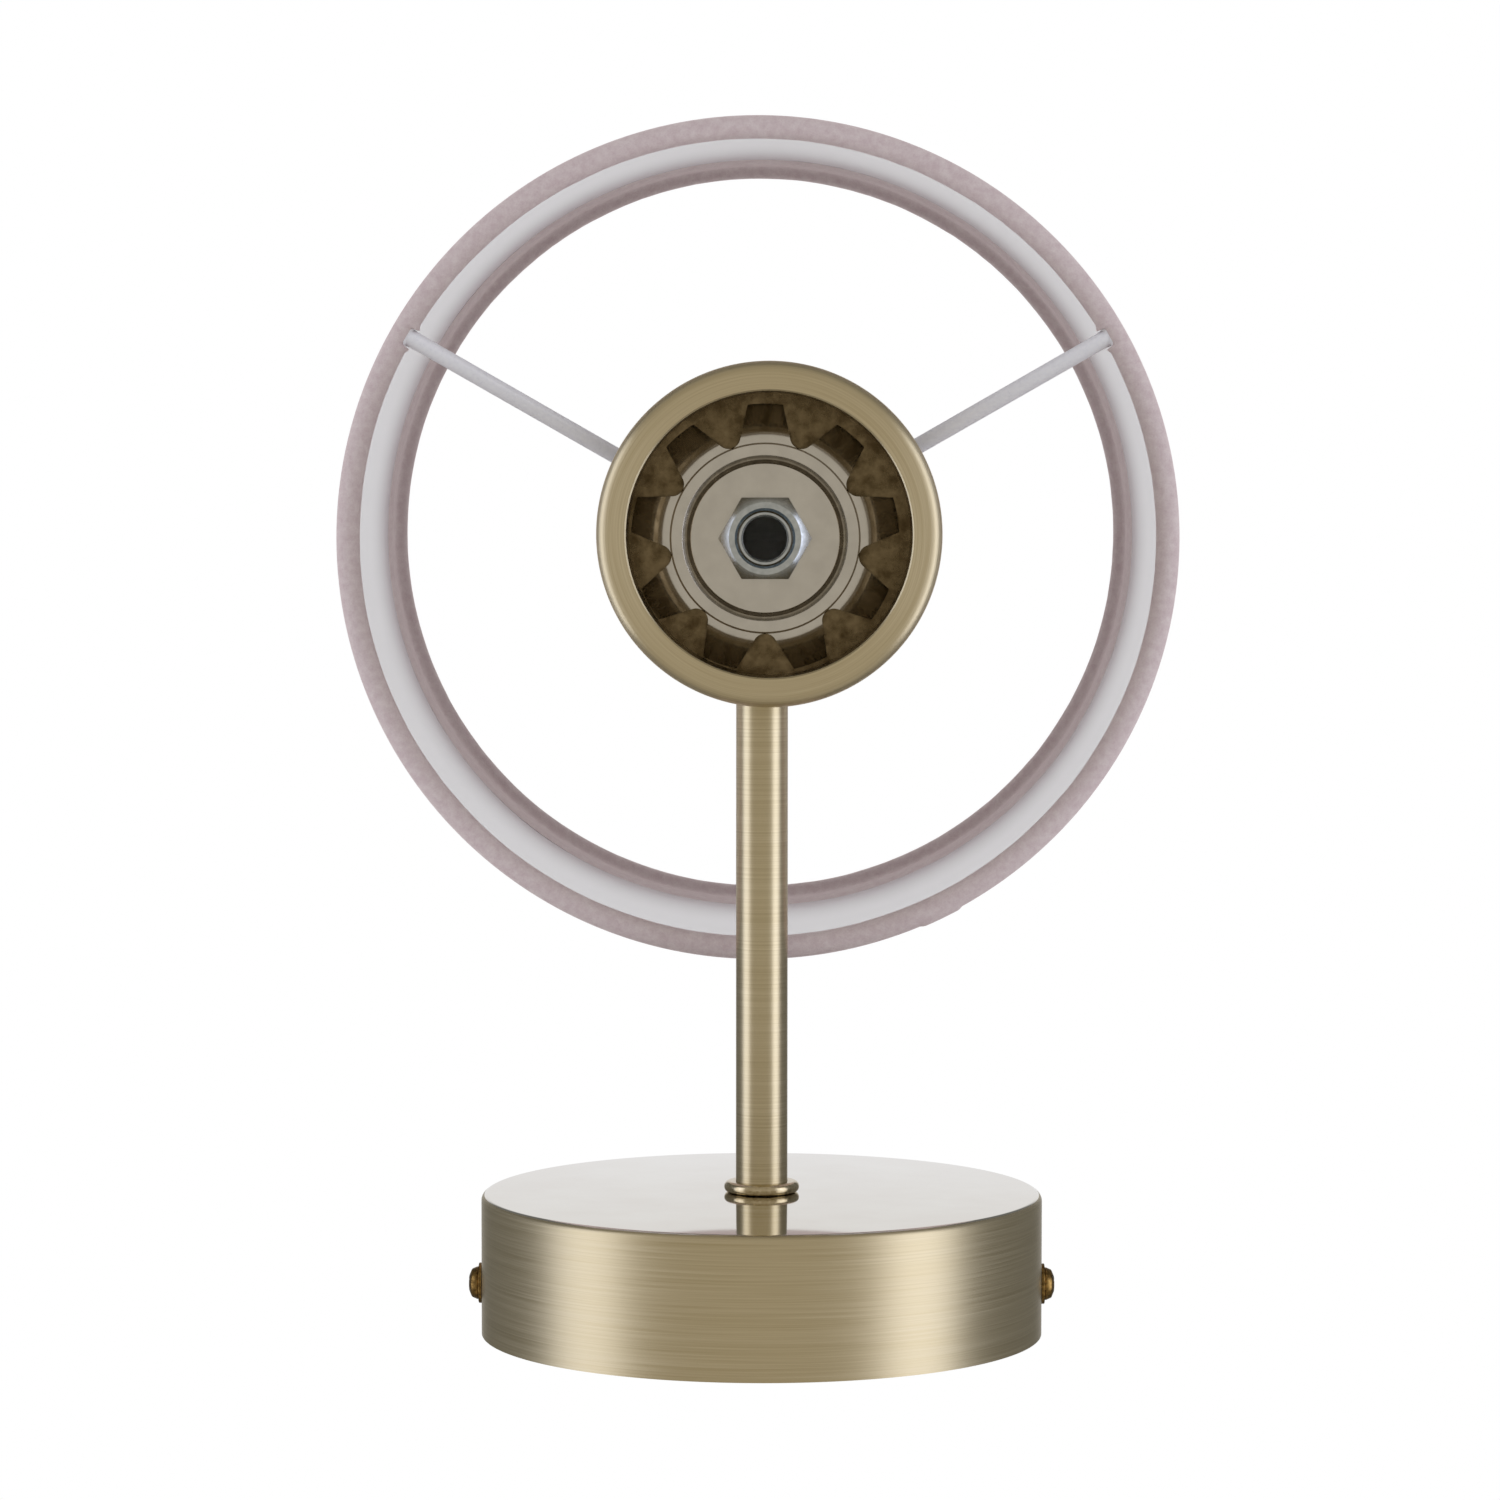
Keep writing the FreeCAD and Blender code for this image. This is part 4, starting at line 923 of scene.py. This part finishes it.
def turned_edge():
    """The middle of the cloth from the wall round a wire to the hem, seen from the wire's centre."""
    line = []
    for k in range(17):
        a = -ROUND_WIRE * k / 16
        line.append(Vector((FOLD * math.cos(a), FOLD * math.sin(a))))
    # From the wire to the lining the cloth swings in an S, drawn through four pulling points.
    leave, land = line[-1], Vector((ON_LINING, GLUED_FROM))
    after = leave - Vector((math.sin(ROUND_WIRE), math.cos(ROUND_WIRE))) * 1.4
    before = land - Vector((0, 1.6))
    for k in range(1, 6):
        u = k / 6
        first, second, third = leave.lerp(after, u), after.lerp(before, u), before.lerp(land, u)
        line.append(first.lerp(second, u).lerp(second.lerp(third, u), u))
    return line + [land.lerp(Vector((ON_LINING, HEM)), k / 5) for k in range(6)]


def cut_off(line, share):
    """The same line, with every point past a share of its length moved back to that place."""
    marks = [0.0]
    for a, b in zip(line, line[1:]):
        marks.append(marks[-1] + (b - a).length)
    cut, i = [], 0
    for mark in marks:
        goal = min(mark, marks[-1] * share)
        while i < len(marks) - 2 and marks[i + 1] < goal:
            i += 1
        cut.append(line[i].lerp(line[i + 1], (goal - marks[i]) / (marks[i + 1] - marks[i])))
    return cut


whole_edge = turned_edge()
print("turned edge", round(sum((b - a).length for a, b in zip(whole_edge, whole_edge[1:])), 1), "mm")

# %% [markdown]
# ### One section through the cloth
# A section starts as the middle line of the cloth: one turned edge, the wall, and the other turned
# edge. Noise that closes on itself round the drum gives it a slow wave and a quick ripple. The two
# skins stand half the cloth's thickness to each side, pressed together where its edges are glued.

# %% One section through the cloth
LAP_ANGLE, LAP_HALF, LAP_RISE = 64.0, 3.2, 0.3
SNIP_HALF, SNIP_SHARE = 1.3, 0.8
CORNER_AT, CORNER_RISE = 1.6, 0.4
WAVE, RIPPLE = 0.06, 0.05
WALL_PARTS = 12


def ease(value):
    """A smooth step from 0 to 1, flat at both ends."""
    value = min(1.0, max(0.0, value))
    return value * value * (3 - 2 * value)


def apart(degrees, other):
    """The smaller angle between two directions."""
    return abs((degrees - other + 180) % 360 - 180)


def cloth_section(degrees):
    """The closed outline of the cloth at this angle round the drum, as (radius, height)."""
    turn = math.radians(degrees)
    wave = noise.noise(Vector((math.cos(turn), math.sin(turn), 0.3)) * 9)
    ripple = noise.noise(Vector((math.cos(turn), math.sin(turn), 2.7)) * 30)
    away = min(apart(degrees, spoke) for spoke in spoke_angles)
    snip = SNIP_SHARE if away < SNIP_HALF else 0.0
    corner = CORNER_RISE * ease(1 - abs(away - CORNER_AT) / 0.7)
    edges = []
    for height, inward in ((LOW_WIRE_Z, 1), (HIGH_WIRE_Z, -1)):
        spots = []
        cut = cut_off(whole_edge, 1 - (snip if inward > 0 else 0.03 * (1 + wave)))
        for k, spot in enumerate(cut):
            share = k / (len(cut) - 1)
            lift = (WAVE * wave + RIPPLE * ripple) * ease(share * 3)
            lift += corner * ease(share * 4 - 0.9) * (inward > 0)
            on_wire = share < 0.62
            spot = spot + spot.normalized() * lift if on_wire else spot - Vector((abs(lift), 0))
            spots.append(Vector((RING_WIRE + spot.x, height + inward * spot.y)))
        edges.append(spots)
    low, high = edges
    wall = [low[0].lerp(high[0], k / WALL_PARTS) for k in range(1, WALL_PARTS)]
    line = low[::-1] + wall + high
    ends = (low[-1], high[-1])
    lap = LAP_RISE * ease((LAP_HALF - apart(degrees, LAP_ANGLE)) * 1.5)
    skins = [[], []]
    for i, spot in enumerate(line):
        run = (line[min(i + 1, len(line) - 1)] - line[max(i - 1, 0)]).normalized()
        pressed = 0.25 + 0.75 * ease(min((spot - end).length for end in ends) / 3.5)
        outward = Vector((run.y, -run.x)) * CLOTH / 2 * pressed
        rise = Vector((lap if spot.x > RING_WIRE + 1.2 else (1 - pressed) * CLOTH * 0.9, 0))
        skins[0].append(spot + outward + rise)
        skins[1].append(spot - outward + rise)
    return skins[0] + skins[1][::-1]


# %% Cover
def fan(centre, step, count):
    """Angles at even steps to both sides of a centre."""
    return {round((centre + k * step) % 360, 3) for k in range(-count, count + 1)}


def round_drum(degrees, section):
    """The section's (radius, height) points, stood at their angle round the shade's axis."""
    c, s = math.cos(math.radians(degrees)), math.sin(math.radians(degrees))
    return [Vector((sx + r * c, sy + r * s, h)) for r, h in section]


# A section every 1.5 degrees, and closer ones at each snip and at the lap.
angles = {round(k * 1.5, 3) for k in range(240)} | fan(LAP_ANGLE, 0.4, 12)
for spoke in spoke_angles:
    angles |= fan(spoke, 0.25, 14)
sections = [round_drum(degrees, cloth_section(degrees)) for degrees in sorted(angles)]
cover = smooth(skin_through("velvet_cover", sections), 60)
stand_for(cover, "shade_cover", velvet)
# Cut 484 mm long, for the girth and the lap, and 152 mm wide, for the wall and both turned edges.
print("cover faces", len(cover.data.polygons))

# %% [markdown]
# ## Lining
# A rolled plastic sheet lines the drum. It isn't perfectly round, so its inside has slow waves
# that show as soft bright and grey bands.

# %% Lining
LINING_ROWS, LINING_COLUMNS = 28, 240
LINING_LOW, LINING_HIGH = 13.7, 118.1
LINING_SKINS = (74.4, 74.8)
BULGE = 0.12
sections = []
for k in range(LINING_COLUMNS):
    turn = math.tau * k / LINING_COLUMNS
    skins = []
    for radius in LINING_SKINS:
        column = []
        for i in range(LINING_ROWS + 1):
            h = LINING_LOW + (LINING_HIGH - LINING_LOW) * i / LINING_ROWS
            wave = noise.noise(Vector((math.cos(turn) * 2.2, math.sin(turn) * 2.2, h / 60)))
            column.append((radius + BULGE * wave, h))
        skins.append(column)
    sections.append(round_drum(math.degrees(turn), skins[0] + skins[1][::-1]))
lining = smooth(skin_through("lining_sheet", sections), 40)
stand_for(lining, "shade_lining", lining_sheet)
print("lining", round(LINING_HIGH - LINING_LOW, 1), "mm high")

# %% [markdown]
# ## Leads
# The live and neutral leads run from the terminal block through the arm to the lampholder, and the
# earth lead runs to its ring terminal. Each is a smooth curve through the same places as its solid,
# with a round section. A curve bends evenly, as insulated wire does.

# %% Leads
LEAD_RADIUS = 0.95
LEADS_START, LEADS_END = -13.6, 13.5
IN_ARM, PAST_ARM, SCREW_AT = 1.05, -128, 5.5
leads = {
    "live_lead": (brown_insulation, [
        (-8, -5.7, LEADS_START), (-8, -5.7, -2), (-IN_ARM, -12, 0), (-IN_ARM, PAST_ARM, 0),
        (hx - SCREW_AT, hy, 0), (hx - SCREW_AT, hy, LEADS_END),
    ]),
    "neutral_lead": (blue_insulation, [
        (0, -5.7, LEADS_START), (0, -5.7, 0), (IN_ARM, -11, 0), (IN_ARM, PAST_ARM, 0),
        (hx + SCREW_AT, hy, 0), (hx + SCREW_AT, hy, LEADS_END),
    ]),
    "earth_lead": (earth_insulation, [
        (8, -5.7, LEADS_START), (8, -5.7, -3), (8, -3.2, 7.4), (8, -3.2, 14.2),
    ]),
}
for node, (insulation, route) in leads.items():
    curve = bpy.data.curves.new(node + "_wire", "CURVE")
    curve.dimensions = "3D"
    spline = curve.splines.new("NURBS")
    spline.points.add(len(route) - 1)
    for point, place in zip(spline.points, route):
        point.co = (*[v * MM for v in place], 1)
    spline.order_u = 3
    spline.use_endpoint_u = True
    spline.resolution_u = 16
    curve.bevel_depth = LEAD_RADIUS * MM
    curve.bevel_resolution = 5
    curve.use_fill_caps = True
    stand_for(shown(node + "_wire", curve), node, insulation)
print("leads:", len(leads), "of", 2 * LEAD_RADIUS, "mm")

# %% [markdown]
# ## Floor, backdrop and light
# The lamp hangs in front of a white backdrop with a pale floor far below it. Two tall soft boxes
# stand left and right of it, which is what draws the bright bands on the round metal, and between
# them the studio is dim, which draws the dark ones. Matt surfaces get an even light from all round.

# %% Floor
FLOOR_Z = -1.3
bm = bmesh.new()
bmesh.ops.create_grid(bm, x_segments=1, y_segments=1, size=20)
floor = piece_from("floor", bm)
floor.location.z = FLOOR_Z
# Matt wall paint: pale and plain. In the metal's reflections it is dimmer and warmer, as if a grey
# card lay there.
floor_paint = start_finish("matt_pale_paint", Roughness=0.8)
tree = floor_paint.node_tree
mirrored_floor = add(tree, "ShaderNodeMix", {"data_type": "RGBA"}, {
    SHARE: add(tree, "ShaderNodeLightPath").outputs["Is Glossy Ray"],
    COLOUR_A: tint("#E3E2E0"), COLOUR_B: tint("#B7AF9F"),
})
feed(tree, "Base Color", mirrored_floor.outputs[COLOUR_OUT])
floor.data.materials.append(floor_paint)
print("floor", -FLOOR_Z, "m below the arm")

# %% [markdown]
# ### The room round the lamp
# One world serves three kinds of ray, which Light Path tells apart. The camera sees white. Matt
# surfaces get an even light. Metal mirrors a dim room that is a little brighter upwards, with a
# white backdrop straight above.

# %% Room
LOW_DIM, HIGH_DIM = (0.085, 0.08, 0.07, 1), (0.17, 0.17, 0.165, 1)
BACKDROP = (0.87, 0.87, 0.89, 1)
EVEN_LIGHT = (0.86, 0.86, 0.86, 1)
WHITE = (1, 1, 1, 1)
world = bpy.data.worlds.new("studio")
bpy.context.scene.world = world
world.use_nodes = True
tree = world.node_tree
way = add(tree, "ShaderNodeTexCoord").outputs["Generated"]
upward = add(tree, "ShaderNodeSeparateXYZ", None, {"Vector": way}).outputs["Z"]
dim = add(tree, "ShaderNodeMapRange", None, {"Value": upward, "From Min": -0.7, "From Max": 0.5})
overhead = add(tree, "ShaderNodeMapRange", {"interpolation_type": "SMOOTHSTEP"}, {
    "Value": upward, "From Min": 0.9, "From Max": 0.97,
})
ray = add(tree, "ShaderNodeLightPath").outputs
light = LOW_DIM
for share, brighter in (
    (dim.outputs["Result"], HIGH_DIM), (overhead.outputs["Result"], BACKDROP),
    (ray["Is Diffuse Ray"], EVEN_LIGHT), (ray["Is Camera Ray"], WHITE),
):
    light = add(tree, "ShaderNodeMix", {"data_type": "RGBA"}, {
        SHARE: share, COLOUR_A: light, COLOUR_B: brighter,
    }).outputs[COLOUR_OUT]
tree.links.new(light, tree.nodes["Background"].inputs["Color"])
print("room made of", len(tree.nodes), "nodes")

# %% [markdown]
# ### Soft boxes
# A soft box is a light behind white cloth. Each is tall and faces the arm from one side, so its
# reflection in a turned piece is one long soft band.

# %% Soft boxes
AIM = Vector((0, -0.1, 0))
COOL_WHITE = (0.9, 0.94, 1.1)
SOFT_BOX_TALL = 1.6


def soft_box(name, place, width, watts):
    """A flat rectangular lamp that faces the arm."""
    data = bpy.data.lights.new(name, "AREA")
    data.shape = "RECTANGLE"
    data.size, data.size_y = width, SOFT_BOX_TALL
    data.energy = watts
    data.color = COOL_WHITE
    ahead = (AIM - Vector(place)).normalized()
    right = ahead.cross(Vector((0, -1, 0))).normalized()
    shown(name, data).matrix_world = aimed(place, right, right.cross(ahead), ahead)


soft_box("soft_box_left", (-1.17, -0.1, -0.32), 0.74, 4.9)
soft_box("soft_box_right", (1.1, -0.1, -0.48), 0.7, 5.3)
print("soft boxes", SOFT_BOX_TALL, "m tall")
